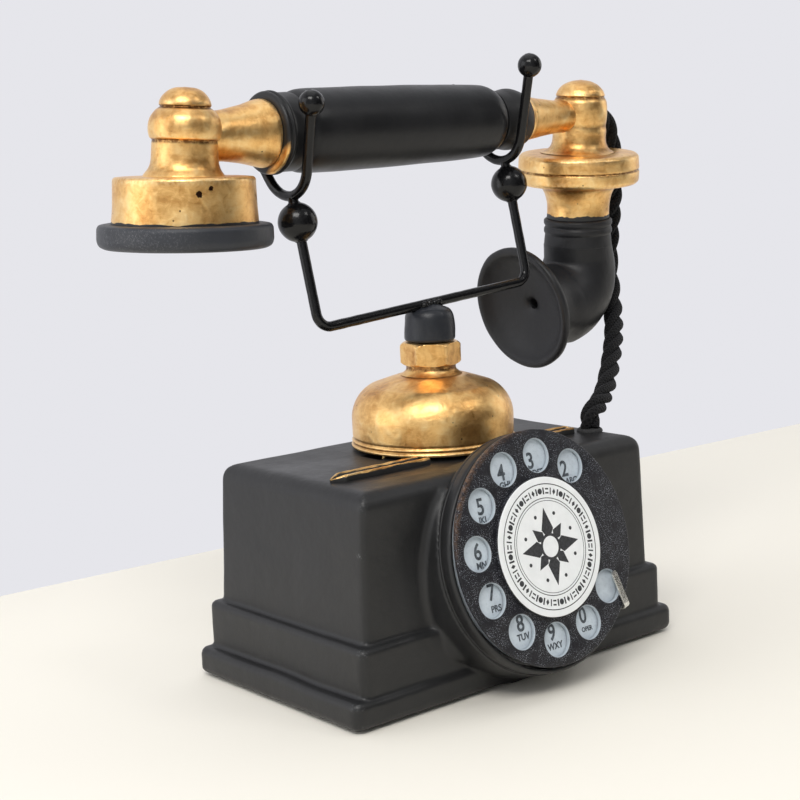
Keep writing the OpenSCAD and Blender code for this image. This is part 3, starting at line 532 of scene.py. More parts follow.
def softened(points, default=0.5, steps=4, longest=1.6):
    """A profile whose corners are rounded: (r, z) or (r, z, size of the round)."""
    out = [points[0][:2]]
    for before, here, after in zip(points, points[1:], points[2:]):
        a, p, b = Vector(before[:2]), Vector(here[:2]), Vector(after[:2])
        u, v = a - p, b - p
        cut = min(here[2] if len(here) > 2 else default, 0.45 * u.length, 0.45 * v.length)
        if cut < 0.02:
            out.append(tuple(p))
            continue
        s, e = p + u.normalized() * cut, p + v.normalized() * cut
        for k in range(steps + 1):
            t = k / steps
            out.append(tuple(s * (1 - t) ** 2 + p * 2 * t * (1 - t) + e * t * t))
    out.append(points[-1][:2])
    dense = [out[0]]
    for q in out[1:]:
        a = Vector(dense[-1])
        d = Vector(q) - a
        n = max(1, math.ceil(d.length / longest))
        dense += [tuple(a + d * (k / n)) for k in range(1, n + 1) if d.length > 1e-6]
    return dense


def bend_of(prof, closed=False):
    """How hollow and how ridged the profile is at each of its points, 0 to 1."""
    n = len(prof)
    turns = np.zeros(n)
    for i in range(0 if closed else 1, n if closed else n - 1):
        a, p, b = (np.array(prof[j % n]) for j in (i - 1, i, i + 1))
        u, v = p - a, b - p
        lu, lv = np.linalg.norm(u), np.linalg.norm(v)
        if lu > 1e-6 and lv > 1e-6:
            turns[i] = math.atan2(u[0] * v[1] - u[1] * v[0], u @ v) / max(0.5 * (lu + lv), 0.05)
    at = lengths(prof)
    near = np.exp(-((at[None, :] - at[:, None]) / 0.7) ** 2)
    area = sum(prof[i - 1][0] * prof[i][1] - prof[i][0] * prof[i - 1][1] for i in range(n))
    smooth = (near * turns).sum(1) / near.sum(1) * (1 if area > 0 else -1)
    return np.clip(-smooth * 1.6, 0, 1), np.clip(smooth * 1.6, 0, 1)


def lengths(points):
    """How far along the line each of its points lies."""
    return np.concatenate([[0], np.cumsum([math.dist(a, b) for a, b in zip(points, points[1:])])])


def waver(pts, amount, size, seed):
    """Pushes points out and in a little along their own direction, as a hand-cast surface is."""
    out = []
    for p in pts:
        v = Vector(p)
        k = noise.noise(v / size + Vector((seed * 7.3, seed * 3.1, seed)))
        flat = Vector((v.x, v.y, 0))
        out.append(v + (flat.normalized() if flat.length > 0.5 else Vector((0, 0, 1))) * (amount * k))
    return out


def lathe(name, node, frame_mm, body, look, segs, profile, closed=False, soft=0.5, steps=4, longest=1.6,
          lump=(0.06, 7), seed=1, sharp=38):
    """A turned piece from a profile of (r, z) points, with rounded corners and slightly uneven walls."""
    if closed:
        first = tuple((a + b) / 2 for a, b in zip(profile[0][:2], profile[1][:2]))
        prof = softened([first, *profile[1:], profile[0], first], soft, steps, longest)[:-1]
    else:
        prof = softened(profile, soft, steps, longest)
    verts, rows, bends = [], [], []
    for (r, z), bend in zip(prof, zip(*bend_of(prof, closed))):
        n = 1 if r < 1e-5 else segs
        rows.append(range(len(verts), len(verts) + n))
        verts += [(x, y, z) for x, y in circle(r, n)]
        bends += [bend] * n
    faces = []
    for a, b in zip(rows, rows[1:] + rows[:1] if closed else rows[1:]):
        for k in range(segs):
            j = (k + 1) % segs
            ring = a[k % len(a)], b[k % len(b)], b[j % len(b)], a[j % len(a)]
            faces.append(tuple(dict.fromkeys(ring)))
    if lump:
        verts = waver(verts, *lump, seed)
    # how hollow and how ridged each point is; the gold paints shade into the hollows and highlights onto the ridges
    # from these
    hollow, ridge = zip(*bends)
    return make(name, node, (verts, faces), frame_mm, body, look, sharp, hollow=hollow, ridge=ridge)


def frames_along(path):
    """Points with a direction, a side and a normal that don't twist."""
    pts = [Vector(p) for p in path]
    n = len(pts)
    tang = [(pts[min(i + 1, n - 1)] - pts[max(i - 1, 0)]).normalized() for i in range(n)]
    side = tang[0].orthogonal().normalized()
    out = []
    for i in range(n):
        if i:
            side = (tang[i - 1].rotation_difference(tang[i]) @ side).normalized()
        out.append((pts[i], tang[i], side, tang[i].cross(side)))
    return out


def tube(path, radius, segs):
    """Vertices and faces of a round bar along a path; radius is a function of the share along it."""
    fr = frames_along(path)
    n = len(fr)
    verts = []
    for i, (p, _, s, u) in enumerate(fr):
        r = radius(i / (n - 1))
        verts += [p + (s * x + u * y) * r for x, y in circle(1, segs)]
    faces = walls(n, segs)
    for i in (0, n - 1):
        faces += [(len(verts), i * segs + k, i * segs + (k + 1) % segs) for k in range(segs)]
        verts.append(fr[i][0])
    return verts, faces


def resampled(path, step):
    """The path with points every step or so."""
    out = [Vector(path[0])]
    for q in path[1:]:
        a = out[-1].copy()
        d = Vector(q) - a
        n = max(1, round(d.length / step))
        out += [a + d * (k / n) for k in range(1, n + 1)]
    return out


def flat_outline(rings, thick, bevel):
    """A flat plate with rounded edges from outlines, the outer one first, as (verts, faces), its top at z 0."""
    c = bpy.data.curves.new("outline", "CURVE")
    c.dimensions, c.fill_mode = "2D", "BOTH"
    c.extrude, c.bevel_depth, c.bevel_resolution, c.offset = thick / 2 - bevel, bevel, 3, -bevel
    for ring in rings:
        sp = c.splines.new("POLY")
        sp.points.add(len(ring) - 1)
        for p, (x, y) in zip(sp.points, ring):
            p.co = (x, y, 0, 1)
        sp.use_cyclic_u = True
    verts, faces = evaluated(linked("outline", c), 1e-4)
    return [v - Vector((0, 0, thick / 2)) for v in verts], faces


# ---------------------------------------------------------------- cord
ROUTE = [
    (98.4, 16.2, 183.4), (101.5, 17, 183.2), (106, 18, 181), (110.4, 19.2, 176.8), (113.4, 20.4, 171),
    (115.6, 21.4, 164), (115.9, 21.8, 157), (114.8, 21.4, 149), (113.2, 21, 141), (111.6, 20.4, 133),
    (110.8, 20, 125), (109, 17.6, 116), (104.5, 12.6, 107.5), (97, 5.6, 99.5), (87.5, -1.4, 91.5),
    (77, -8.4, 84.8), (67, -14.8, 81.2), (61, -17.65, 79.6), (57, -18.85, 76.9), (56.5, -19, 73.22)]
CORD_D, PITCH, STRANDS, STRAND_SEGS = 7.4, 27.0, 3, 14
STRAND_R = CORD_D / 2 / 2.10


def through(pts, steps):
    """The same smooth curve through the route's points as the CAD's."""
    p = [Vector(q) for q in pts]
    out = []
    for i in range(len(p) - 1):
        a, b, c, d = p[max(i - 1, 0)], p[i], p[i + 1], p[min(i + 2, len(p) - 1)]
        for t in (j / steps for j in range(steps)):
            out.append(0.5 * (2 * b + (c - a) * t + (2 * a - 5 * b + 4 * c - d) * t * t
                              + (3 * b - a - 3 * c + d) * t ** 3))
    return out + [p[-1]]


line = resampled(through(ROUTE, 8), 0.6)[::-1]
arc_at = lengths(line)
line_frames = frames_along(line)
strands, cord_own = [], []
for s_i in range(STRANDS):
    pts = []
    for (p, _, s, u), at in zip(line_frames, arc_at):
        a = 2 * math.pi * (at / PITCH + s_i / STRANDS) + 0.25 * math.sin(at / 9.0)
        pts.append(p + (s * math.cos(a) + u * math.sin(a)) * (CORD_D / 2 - STRAND_R))
    strands.append(tube(pts, lambda f, k=s_i: STRAND_R * (1 + 0.035 * math.sin(60 * f + 2 * k)), STRAND_SEGS))
    for k in range(len(strands[-1][0])):
        row = min(k // STRAND_SEGS, len(arc_at) - 1)
        cord_own.append((arc_at[row] * 1.02, (k % STRAND_SEGS) / STRAND_SEGS, s_i))
cord = make("handset_cord", "cord", join(strands), WORLD, None, "cord_cotton", None, cord_own)
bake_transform(cord)

# ---------------------------------------------------------------- base
DRUM_LOW, DRUM_HIGH = 0.5, 68.5
LEAN_SIN, LEAN_COS, FRONT = 0.247, 0.969, 13.9  # the dial's lean, and the body's front in front of its frame
CORNERS = ((1, 1, 0), (-1, 1, 90), (-1, -1, 180), (1, -1, 270))


def slab(w, d, z0, z1, r, low, high, draft=0.0):
    """A closed box with rounded upright edges, and rims rounded by low and high; draft narrows it upward."""
    n = 10
    rims = [(z0 + low * (1 - cosd(a)), -low * (1 - sind(a))) for a in (0, 22, 45, 67, 90)]
    rims += [(z1 - high * (1 - sind(a)), -high * (1 - cosd(a))) for a in range(0, 91, 15)]
    verts = []
    for z, grow in rims:
        k = (z - z0) / (z1 - z0)
        hw, hd = w / 2 - draft * k + grow, d / 2 - draft * k / 2 + grow
        rr = max(0.5, r + grow)
        for cx, cy, a0 in CORNERS:
            verts += [(x, y, z) for x, y in arc(cx * (hw - rr), cy * (hd - rr), rr, a0, a0 + 90, n)]
    return verts, capped(len(rims), 4 * (n + 1))


def hull_of(points):
    """The convex hull of the points, as (verts, faces)."""
    bm = bmesh.new()
    for p in points:
        bm.verts.new(p)
    bmesh.ops.convex_hull(bm, input=bm.verts)
    used = [v for v in bm.verts if v.link_faces]
    at = {v: i for i, v in enumerate(used)}
    out = [v.co.copy() for v in used], [tuple(at[v] for v in f.verts) for f in bm.faces]
    bm.free()
    return out


def cylinder(r, z0, z1, frame_mm=WORLD, n=64):
    return [frame_mm @ Vector((x, y, z)) for z in (z0, z1) for x, y in circle(r, n)], capped(2, n)


def brick(lo, hi):
    x, y, z = zip(lo, hi)
    v = [(x[i], y[j], z[k]) for k in (0, 1) for j in (0, 1) for i in (0, 1)]
    return v, [(0, 2, 3, 1), (4, 5, 7, 6), (0, 1, 5, 4), (2, 6, 7, 3), (0, 4, 6, 2), (1, 3, 7, 5)]


def drum(r0, front, sweep, n=120, steps=8):
    """The drum behind the dial, swept into the body's front, and kept off the floor and below the roof."""
    upward = DIAL.to_3x3() @ Vector((0, 1, 0))
    verts = []
    for i in range(steps + 5):
        for k in range(n):
            a = 2 * math.pi * k / n
            meets = max(-21.0, (LEAN_SIN * (r0 * math.sin(a) - DIAL_DROP) - FRONT) / LEAN_COS)
            t = max(0.0, min(1.0, (i - 2) / steps))
            z = min(meets + sweep * (1 - t), front - 1.0)
            r = r0 + sweep * (1 - math.sqrt(1 - t * t)) * min(1.0, max(0.0, (front - meets) / sweep))
            if i < 2 or i == steps + 4:
                z, r = ((front, 0.0), (front, r0 - 0.5), (meets - 5.0, 0.0))[min(i, 2)]
            elif i == steps + 3:
                z = meets - 5.0
            v = DIAL @ Vector((r * math.cos(a), r * math.sin(a) - DIAL_DROP, z))
            past_end = min(0.0, v.z - DRUM_LOW) + (max(0.0, v.z - DRUM_HIGH) if r > 0 else 0.0)
            verts.append(v - upward * (past_end / upward.z))
    return verts, walls(steps + 5, n)


boss = [DIAL @ Vector((x, y - drop, z)) for z, drop in ((-10.0, DIAL_DROP), (-18.0, 2.0))
        for x, y in circle(34.7, 96)]
boss += [Vector((x, y, z)) for z in (14, 66.5) for cx, cy, a0 in CORNERS
         for x, y in arc(cx * 37, -26 + cy * 4, 6, a0, a0 + 90, 6)]
mass = mesh_object("mass", *join([
    slab(145.2, 85.4, 0.8, 10.0, 3.4, 2.6, 2.4), slab(136.3, 81.8, 6.6, 25.4, 2.6, 1, 2.0),
    slab(129.6, 76.8, 21.4, 72.0, 2.4, 1, 5.2, 1.9), drum(39.9, -7.4, 1.8), hull_of(boss)]))
remesh = mass.modifiers.new("remesh", "REMESH")
remesh.mode, remesh.voxel_size = "VOXEL", 0.6
smooth = mass.modifiers.new("smooth", "SMOOTH")
smooth.factor, smooth.iterations = 0.5, 2
verts, faces = evaluated(mass)
uneven = []
for v in verts:
    q, fine = v / 21, v / 6.5
    w = Vector((noise.noise(q), noise.noise(q + Vector((9, 0, 0))), noise.noise(q + Vector((0, 9, 0)))))
    w2 = Vector((noise.noise(fine), noise.noise(fine + Vector((5, 5, 0))), 0))
    uneven.append(v + w * (0.30 if v.z > 3 else 0.0) + w2 * 0.06)
mass = mesh_object("mass", uneven, faces)
cuts = [mesh_object("cut", *part) for part in (
    cylinder(39.0, -8.9, 20, RIM, 96), cylinder(33.5, -17, -8, RIM, 96), slab(122.4, 69.4, -3, 69, 6, 0.5, 0.5),
    slab(136.0, 76.8, -3, 3.2, 6, 0.5, 0.1), cylinder(30.4, -26.5, -15, DIAL), cylinder(4.5, 67, 74, BELL),
    brick((-25, -0.3, 67), (-10, 9.7, 73)), cylinder(29.4, 72.3, 98, BELL, 96), cylinder(3.2, 67, 74, CORD_HOLE, 32))]
for c in cuts:
    b = mass.modifiers.new("cut", "BOOLEAN")
    b.operation, b.solver, b.object = "DIFFERENCE", "EXACT", c
part = evaluated(mass)
for c in cuts:
    bpy.data.objects.remove(c)
make("cast_body", "housing", part, WORLD, "housing", "cast_black", 48)

# the rail that runs across the top: two gilt lips with a groove between them
RAIL_Y, RAIL_Z = -15.5, 71.6
SECTION = [  # y, z and how gilt
    (-18.55, 71.6, 0), (-18.5, 73.4, 0.3), (-18.1, 74.15, 1), (-17.5, 74.25, 1), (-17.0, 73.9, 0.7), (-16.8, 73.1, 0),
    (-15.5, 72.9, 0), (-14.2, 73.1, 0), (-13.9, 73.9, 0.7), (-13.5, 74.25, 1), (-12.9, 74.15, 1), (-12.5, 73.4, 0.3),
    (-12.45, 71.6, 0)]
for i, (name, x0, x1) in enumerate((("rail_left", -57.5, -19.4), ("rail_right", 27.0, 51.5))):
    n, m = 60, len(SECTION)
    verts, gilt = [], []
    for k in range(n + 1):
        f = k / n
        x = x0 + (x1 - x0) * f
        pinch = min(1.0, (x1 - x) / 3.0 + 0.25 if i else (x - x0) / 5.0 + 0.12)
        for y, z, g in SECTION:
            w = 0.22 * noise.noise(Vector((x / 3.1, y * 2.0, i * 5.0)))
            slant = 0.0 if i else -0.32 * (y - RAIL_Y) * f ** 6
            verts.append((x + slant, RAIL_Y + (y - RAIL_Y) * pinch + w * 0.6,
                          RAIL_Z + (z - RAIL_Z) * (0.5 + 0.5 * pinch) + min(w, 0.03)))
            gilt.append(g * (0.75 + 0.5 * noise.noise(Vector((x / 5.0, y, 3.0)))))
    faces = [(a * m + b, a * m + b + 1, (a + 1) * m + b + 1, (a + 1) * m + b) for a in range(n) for b in range(m - 1)]
    faces += [tuple(range(m)), tuple(range((n + 1) * m - 1, n * m - 1, -1))]
    make(name, "top_rail", (verts, faces), WORLD, "housing", "gilt_trim", 50, ridge=gilt)

lathe("cord_grommet", "cord_gland", CORD_HOLE, "housing", "rubber", 48, [
    (0, 67.6), (3.1, 67.6, 0.2), (3.1, 71.9, 0.1), (4.65, 71.9, 0.2), (4.5, 72.6, 0.3), (4.0, 73.15, 0.3), (0, 73.2)],
    lump=(0.05, 2))

# ---------------------------------------------------------------- bell
BELL_R, BELL_LOW, BELL_TOP, BORE_R = 28.3, 73.2, 97.2, 4.6
outside = [(BELL_R + r, BELL_LOW + z, *soft) for r, z, *soft in (
    (-2.4, 0.05), (-0.4, 0, 0.3), (-0.05, 0.7, 0.4), (-0.75, 1.5, 0.3), (-0.25, 2.2, 0.4), (-0.9, 3.0, 0.3),
    (-0.65, 3.7, 0.5))]
crown = [(r, BELL_TOP + z) for r, z in (
    (16, -1.7), (12, -0.4), (9, 0), (BORE_R, 0), (BORE_R, -1.8), (11.6, -2.1), (15.6, -3.5))]
lathe("bell_gong", "gong", BELL, "housing", "bell_gold", 144, [
    *outside, *arc(BELL_R - 13, BELL_LOW + 9.6, 12.4, 2, 62, 12), *crown,
    *arc(BELL_R - 13, BELL_LOW + 9.6, 10.6, 62, 0, 9), (BELL_R - 2.4, BELL_LOW + 5)],
    True, 0.6, 4, 1.2, (0.10, 9), 3)


NUT_HEIGHTS = (-0.05, 0.4, 1.2, 1.9, 2.5, 3.1, 3.3, 3.6, 4.0, 4.6, 5.4, 6.4, 7.6, 8.6, 9.3, 9.8, 10.2, 10.6, 10.85,
               11.0)
COLLAR_TOP, FLAT_R = 3.25, 9.09


def nut_at(h, a):
    """Radius of the nut at a height and an angle, with how much painted shade (hollow) and painted highlight (ridge)
    it gets there.
    """
    if h < COLLAR_TOP:
        return 8.5 + 2.0 * max(0.0, 1 - h / 2.0) ** 2, 1.0 if 1.8 < h < 3.2 else 0.1, 0
    flat = FLAT_R / max(math.cos((a % (math.pi / 3)) - math.pi / 6), 0.5)
    low = 8.9 + 1.9 * min(1.0, (h - COLLAR_TOP) / 1.1) ** 0.6
    top = 8.7 + 1.8 * min(1.0, (NUT_HEIGHTS[-1] - h) / 1.3) ** 0.55
    r = min(flat - 0.28 * max(0.0, flat - 10.0), low, top)
    return r, 0, 0.9 if min(low, top) < flat else 0.55 if flat > 10.2 else 0.0


def hex_nut(n=168):
    """The nut: flats that meet rounded cones above and below, on a turned collar."""
    verts, hollow, ridge = [], [], []
    rings = [(NUT_HEIGHTS[0], True), *((h, False) for h in NUT_HEIGHTS), (NUT_HEIGHTS[-1], True)]
    for h, bore in rings:
        z = BELL_TOP + h
        for k in range(n):
            a = 2 * math.pi * k / n
            # the bore and the groove above the collar get painted shade, the nut's rounded rims and corners painted
            # highlights
            r, shaded, lit = (BORE_R, 0.4, 0) if bore else nut_at(h, a)
            if not bore:
                r += 0.07 * noise.noise(Vector((math.cos(a) * 3, math.sin(a) * 3, z / 3)))
            verts.append((r * math.cos(a), r * math.sin(a), z))
            hollow.append(shaded)
            ridge.append(lit)
    make("bell_nut", "gong_nut", (verts, walls(len(rings), n)), BELL @ turn(20, "Z"), "housing", "antique_gold", 30,
         hollow=hollow, ridge=ridge)


hex_nut()

# ---------------------------------------------------------------- dial
lathe("dial_rim", "dial_cup", RIM, "housing", "black_enamel", 144, [
    (37.3, -7.6), (37.3, -3.0, 0.3), (37.7, -2.5, 0.3), (38.5, -2.6, 0.5), (38.9, -3.6, 0.6), (38.9, -6.4, 0.4),
    (38.5, -6.9, 0.3), (38.9, -7.4, 0.3), (38.7, -8.8, 0.3), (33.4, -8.8, 0.3), (33.3, -16.9, 0.3), (30.2, -16.9, 0.3),
    (30.2, -7.6, 0.3)], True, 0.3, 3, 2.0, (0.05, 9), 5)
lathe("dial_number_plate", "number_plate", DIAL, "housing", "plate_enamel", 144, [
    (6, -1.75), (36.6, -1.75, 0.2), (36.9, -2.1, 0.2), (36.9, -4.4, 0.2), (6, -4.4, 0.2)],
    True, 0.2, 2, 4.0, (0.03, 12), 6)

HOLE_RING, HOLE_R, FIRST_HOLE = 29.45, 5.45, 53.4
NUMERAL_Z, NUMERAL_DEPTH = -1.72, 0.1
holes = [(HOLE_RING * cosd(FIRST_HOLE + 30 * k), HOLE_RING * sind(FIRST_HOLE + 30 * k)) for k in range(10)]
# digit, letters, then where each sits in its finger hole as seen from the front left, in millimetres
LABELS = [
    ("2", "ABC", -1.3, -0.9, 1.0, -5), ("3", "DEF", -1.4, -1.6, 1.0, -5.6), ("4", "GHI", 0.2, -1.1, 0.9, -5),
    ("5", "JKL", 0.7, -0.5, 1.0, -4.6), ("6", "MN", 1.5, 0.3, 2.2, -3.9), ("7", "PRS", 1.6, 2.2, 2.4, -2.9),
    ("8", "TUV", 1.4, 2.3, 1.7, -1.9), ("9", "WXY", -0.2, 2.2, 0.2, -2.1), ("0", "OPER", -0.4, 2.2, 0.4, -2.2)]


def lettering(text, size, x, y, bold, squeeze):
    """Raised strokes of a digit or letters on the number plate, as (verts, faces)."""
    c = bpy.data.curves.new("t", "FONT")
    c.body, c.size, c.align_x, c.align_y = text, size, "CENTER", "CENTER"
    c.offset, c.extrude, c.resolution_u = bold * size, NUMERAL_DEPTH / 2, 6
    verts, faces = evaluated(linked("t", c))
    m = move(x, y, NUMERAL_Z) @ Matrix.Diagonal((squeeze, 1, 1, 1))
    return [m @ v for v in verts], faces


marks = []
for (cx, cy), (digit, letters, dx, dy, lx, ly) in zip(holes, LABELS):
    marks.append(lettering(digit, 7.3, cx + dx, cy + dy, 0.018, 0.9))
    marks.append(lettering(letters, 2.9 if len(letters) < 4 else 2.1, cx + lx, cy + ly, 0.03, 0.95))
make("dial_numerals", None, join(marks), DIAL, "housing", "numeral_ink", 30)

part = flat_outline([circle(38, 180), *(circle(HOLE_R, 56, *c) for c in holes)], 1.5, 0.34)
wells = [max(0.0, min(1.0, (HOLE_R + 0.23 - min(math.dist(v[:2], c) for c in holes)) / 0.12)) for v in part[0]]
make("dial_finger_wheel", "finger_wheel", part, DIAL, "dial", "dial_black", 50, well=wells)
lathe("dial_card_holder", "card_holder", DIAL, "dial", "dial_black", 120, [
    (0, 0), (22.4, 0, 0.2), (22.45, 1.2, 0.3), (22.1, 1.45, 0.2), (0, 1.45)], lump=None)
lathe("dial_card", "centre_card", DIAL, "dial", "card", 120, [
    (0, 1.45), (22.2, 1.45, 0.1), (22.4, 1.75, 0.2), (22.0, 1.9, 0.2), (0, 1.9)], lump=(0.02, 20))

CARD_Z, INK_H = 1.895, 0.03


def band(r0, r1, n=144):
    """A thin ring of ink on the card."""
    rings = ((r0, CARD_Z), (r1, CARD_Z), (r1, CARD_Z + INK_H), (r0, CARD_Z + INK_H))
    return [(x, y, z) for r, z in rings for x, y in circle(r, n)], walls(4, n, True)


def oblong(x0, x1, half):
    return [(x0, -half), (x1, -half), (x1, half), (x0, half)]


def repeated(count, points, start=0.0, h=INK_H):
    """One flat shape of ink, repeated round the card."""
    for k in range(count):
        a = math.radians(start) + 2 * math.pi * k / count
        spun = [(x * math.cos(a) - y * math.sin(a), x * math.sin(a) + y * math.cos(a)) for x, y in points]
        yield [(x, y, z) for z in (CARD_Z, CARD_Z + h) for x, y in spun], capped(2, len(points))


ink = [band(19.9, 20.2), band(15.4, 15.65), band(14.6, 14.78), band(3.4, 4.3)]
for first, points in (
        (0, circle(0.95, 12, 17.8)), (5, oblong(16.7, 18.9, 0.3)),
        (10, [(16.8, 0), (17.8, -0.65), (18.8, 0), (17.8, 0.65)]), (15, oblong(16.7, 18.9, 0.22)),
        (20, oblong(16.9, 17.4, 0.7)), (20, oblong(18.2, 18.7, 0.7)), (25, oblong(16.7, 18.9, 0.3))):
    ink += repeated(12, points, first)
ink += repeated(4, [(4.1, -1.5), (5.6, -2.6), (12.6, 0), (5.6, 2.6), (4.1, 1.5)], h=0.035)
ink += repeated(4, [(4.2, -1.2), (5.2, -1.9), (9.2, 0), (5.2, 1.9), (4.2, 1.2)], 45)
ink += repeated(8, circle(0.62, 12, 10.9), 22.5)
make("dial_card_ornament", None, join(ink), DIAL, "dial", "ink", 30)


def finger_stop():
    """A bright strip that comes up beside the rim and folds over the wheel."""
    foot, tip = Vector((29.62, -25.75, 0)), Vector((26.3, -13.1, 0))
    run = (tip - foot).normalized()
    rise = [(0, -3.8), (0, -2.6), (0, -1.4), (0, -0.3), (0.15, 0.5), (0.7, 0.98)]
    rise += [(d, 1.05) for d in (1.6, 3.2, 5, 7, 9, 10.6, 11.6, 12.3, 12.8)]
    path = [foot + run * d + Vector((0, 0, z)) for d, z in rise]
    wide = run.cross(Vector((0, 0, 1))).normalized()
    section = ((-1, -.6), (-.9, -1), (.9, -1), (1, -.6), (1, .6), (.9, 1), (-.9, 1), (-1, .6))
    narrowing = (1, 1, 1, 0.97, 0.86, 0.62)
    verts = []
    n = len(path)
    for i, p in enumerate(path):
        d = (path[min(i + 1, n - 1)] - path[max(i - 1, 0)]).normalized()
        up = wide.cross(d).normalized()
        half = 1.22 * narrowing[max(0, i - n + 6)] if i > 3 else 1.1
        verts += [p + wide * w * half + up * t * 0.42 for w, t in section]
    make("dial_finger_stop", "finger_stop", (verts, capped(n, 8)), DIAL, "housing", "bright_steel", 40)


finger_stop()

# ---------------------------------------------------------------- cradle
HALF, BEND, WIRE_R = 47.4, 5.0, 1.675
FORK_R, FORK_Z, SPREAD, BACK_TIP = 11.3, 54.6, 25, 70
SIDES = ((-1, "left", 69.4), (1, "right", 72.7))  # with the height of the front tip
ARM_Y, ARM_Z = FORK_R * cosd(SPREAD), FORK_Z - FORK_R * sind(SPREAD)


def uneven_wire(freq, seed):
    return lambda f: WIRE_R * (1 + 0.05 * noise.noise(Vector((f * freq, seed, 0))))


def along_arm(side, sign, z):
    """Where a fork's front (-1) or back (1) arm is at a height."""
    return Vector((side * HALF, sign * (ARM_Y + (z - ARM_Z) * math.tan(math.radians(SPREAD))), z))


bar_top = FORK_Z - FORK_R - 0.4
bar = [Vector((-HALF, 0, bar_top)), Vector((-HALF, 0, BEND)),
       *arc3((-HALF + BEND, 0, BEND), (1, 0, 0), (0, 0, 1), BEND, 180, 270, 12)[1:],
       *arc3((HALF - BEND, 0, BEND), (1, 0, 0), (0, 0, 1), BEND, 270, 360, 12), Vector((HALF, 0, bar_top))]
parts = [tube(resampled(bar, 1.6), uneven_wire(60, 1), 24)]
for side, _, front_tip in SIDES:
    fork = [along_arm(side, -1, front_tip), along_arm(side, -1, ARM_Z + 1),
            *arc3((side * HALF, 0, FORK_Z), (0, 1, 0), (0, 0, 1), FORK_R, 180 + SPREAD, 360 - SPREAD, 22),
            along_arm(side, 1, ARM_Z + 1), along_arm(side, 1, BACK_TIP)]
    parts.append(tube(resampled(fork, 1.4), uneven_wire(40, 5 + side), 24))
make("cradle_frame_wire", "cradle_wire", join(parts), CRADLE, "cradle", "black_wire", 60)


def knob(name, node, radius, at, collar, seed):
    """A dipped ball with the paint drawn up into little fillets where the wire goes in and out."""
    prof = [(0, -radius * 0.99)]
    for i in range(1, 32):
        a = -90 + 180 * i / 32
        r, z = radius * cosd(a), radius * sind(a)
        if abs(z) > radius * 0.86:
            r = max(r, collar * (0.96 + 0.2 * (1 - (abs(z) - radius * 0.86) / (radius * 0.14))))
        prof.append((r, z))
    prof.append((0, radius * 0.99))
    lathe(name, node, CRADLE @ move(*at), "cradle", "black_wire", 48, prof, soft=0.15, steps=2, longest=0.9,
          lump=(0.10, 3.5), seed=seed, sharp=60)


for i, (side, side_name, front_tip) in enumerate(SIDES):
    knob(f"cradle_ball_{side_name}", "cradle_balls", 6.4, (side * HALF, 0, 34.8), 2.0, 3 + i)
    for j, (sign, end_name, z) in enumerate(((-1, "front", front_tip), (1, "back", BACK_TIP))):
        knob(f"fork_tip_{side_name}_{end_name}", "fork_tips", 4.1, along_arm(side, sign, z), 1.0, 11 + 3 * i + j)

lathe("cradle_pillar", "cradle_post", BELL, "cradle", "post_black", 96, [
    (0, 108.6), (8.2, 108.55, 0.4), (8.7, 109.3, 0.4), (8.65, 112, 1), (8.5, 115.2, 2), (8.3, 117.2, 1.5),
    (7.2, 119.2, 1.5), (4.4, 120.3, 1.0), (3.0, 120.9, 0.6), (0, 121.2)], lump=(0.18, 4.5), seed=8)
lathe("cradle_stem", "cradle_post", BELL, "cradle", "black_wire", 48, [
    (0, 40), (2.6, 40, 0.2), (3.0, 40.5, 0.2), (3.0, 56, 0.1), (5.6, 56, 0.2), (5.6, 57.6, 0.2), (3.0, 57.6, 0.1),
    (3.0, 108.7)], lump=None)
blobs = []
for k, (*at, r) in enumerate((
        (-3.2, -1.3, -0.4, 1.5), (-1.2, -1.6, 0.1, 1.2), (1.4, -1.5, -0.1, 1.35), (3.6, -1.1, 0.0, 1.2),
        (-4.6, -0.6, -0.6, 1.1), (0.4, 1.6, -0.2, 1.4), (-2.6, 1.5, -0.4, 1.3), (2.8, 1.4, -0.2, 1.2))):
    verts = []
    for i in range(9):
        for x, y in circle(math.sin(math.pi * i / 8), 14):
            d = Vector((x, y, math.cos(math.pi * i / 8)))
            verts.append(Vector(at) + d * r * (1 + 0.22 * noise.noise(d * 1.5 + Vector((k, 0, 0)))))
    blobs.append((verts, walls(9, 14)))
make("cradle_joint_paint", None, join(blobs), CRADLE, "cradle", "black_wire", 60)

# ---------------------------------------------------------------- handset
lathe("grip_tube", "grip_barrel", GRIP, "handset", "black_grip", 112, [
    (0, -47.35), (9.8, -47.35, 0.6), (11.6, -46.9, 1.2), (13.2, -44.6, 1.4), (13.5, -41, 2), (13.55, -30, 3),
    (13.58, -18, 4), (13.45, 0, 4), (13.1, 18, 4), (12.7, 32, 3), (12.4, 36.5, 2.2), (10.8, 40.2, 2.2),
    (8.2, 41.35, 0.6), (0, 41.35)], soft=1.0, lump=(0.12, 16), seed=2)
lathe("grip_ring_left", "left_collar", GRIP, "handset", "left_ring_black", 112, [
    (2.9, -57.2), (11.6, -57.2, 0.3), (12.6, -56.9, 0.5), (13.0, -56.3, 0.4), (13.0, -55.7, 0.3), (12.55, -55.4, 0.25),
    (12.6, -55.0, 0.25), (13.2, -54.7, 0.4), (13.2, -53.9, 0.4), (12.6, -53.3, 0.4), (12.5, -50.5, 0.5),
    (12.5, -47.45, 0.2), (2.9, -47.45, 0.1)], True, 0.3, 3, 1.6, (0.10, 5), 4)
lathe("grip_ring_right", "right_collar", GRIP, "handset", "right_ring_black", 112, [
    (2.9, 41.45), (10.1, 41.45, 0.2), (10.3, 46.0, 0.6), (10.8, 48.0, 0.8), (10.8, 50.2, 1.0), (10.2, 52.8, 1.0),
    (9.3, 54.8, 0.6), (8.5, 55.5, 0.4), (2.9, 55.6, 0.1)], True, 0.3, 3, 1.6, (0.10, 5), 5)

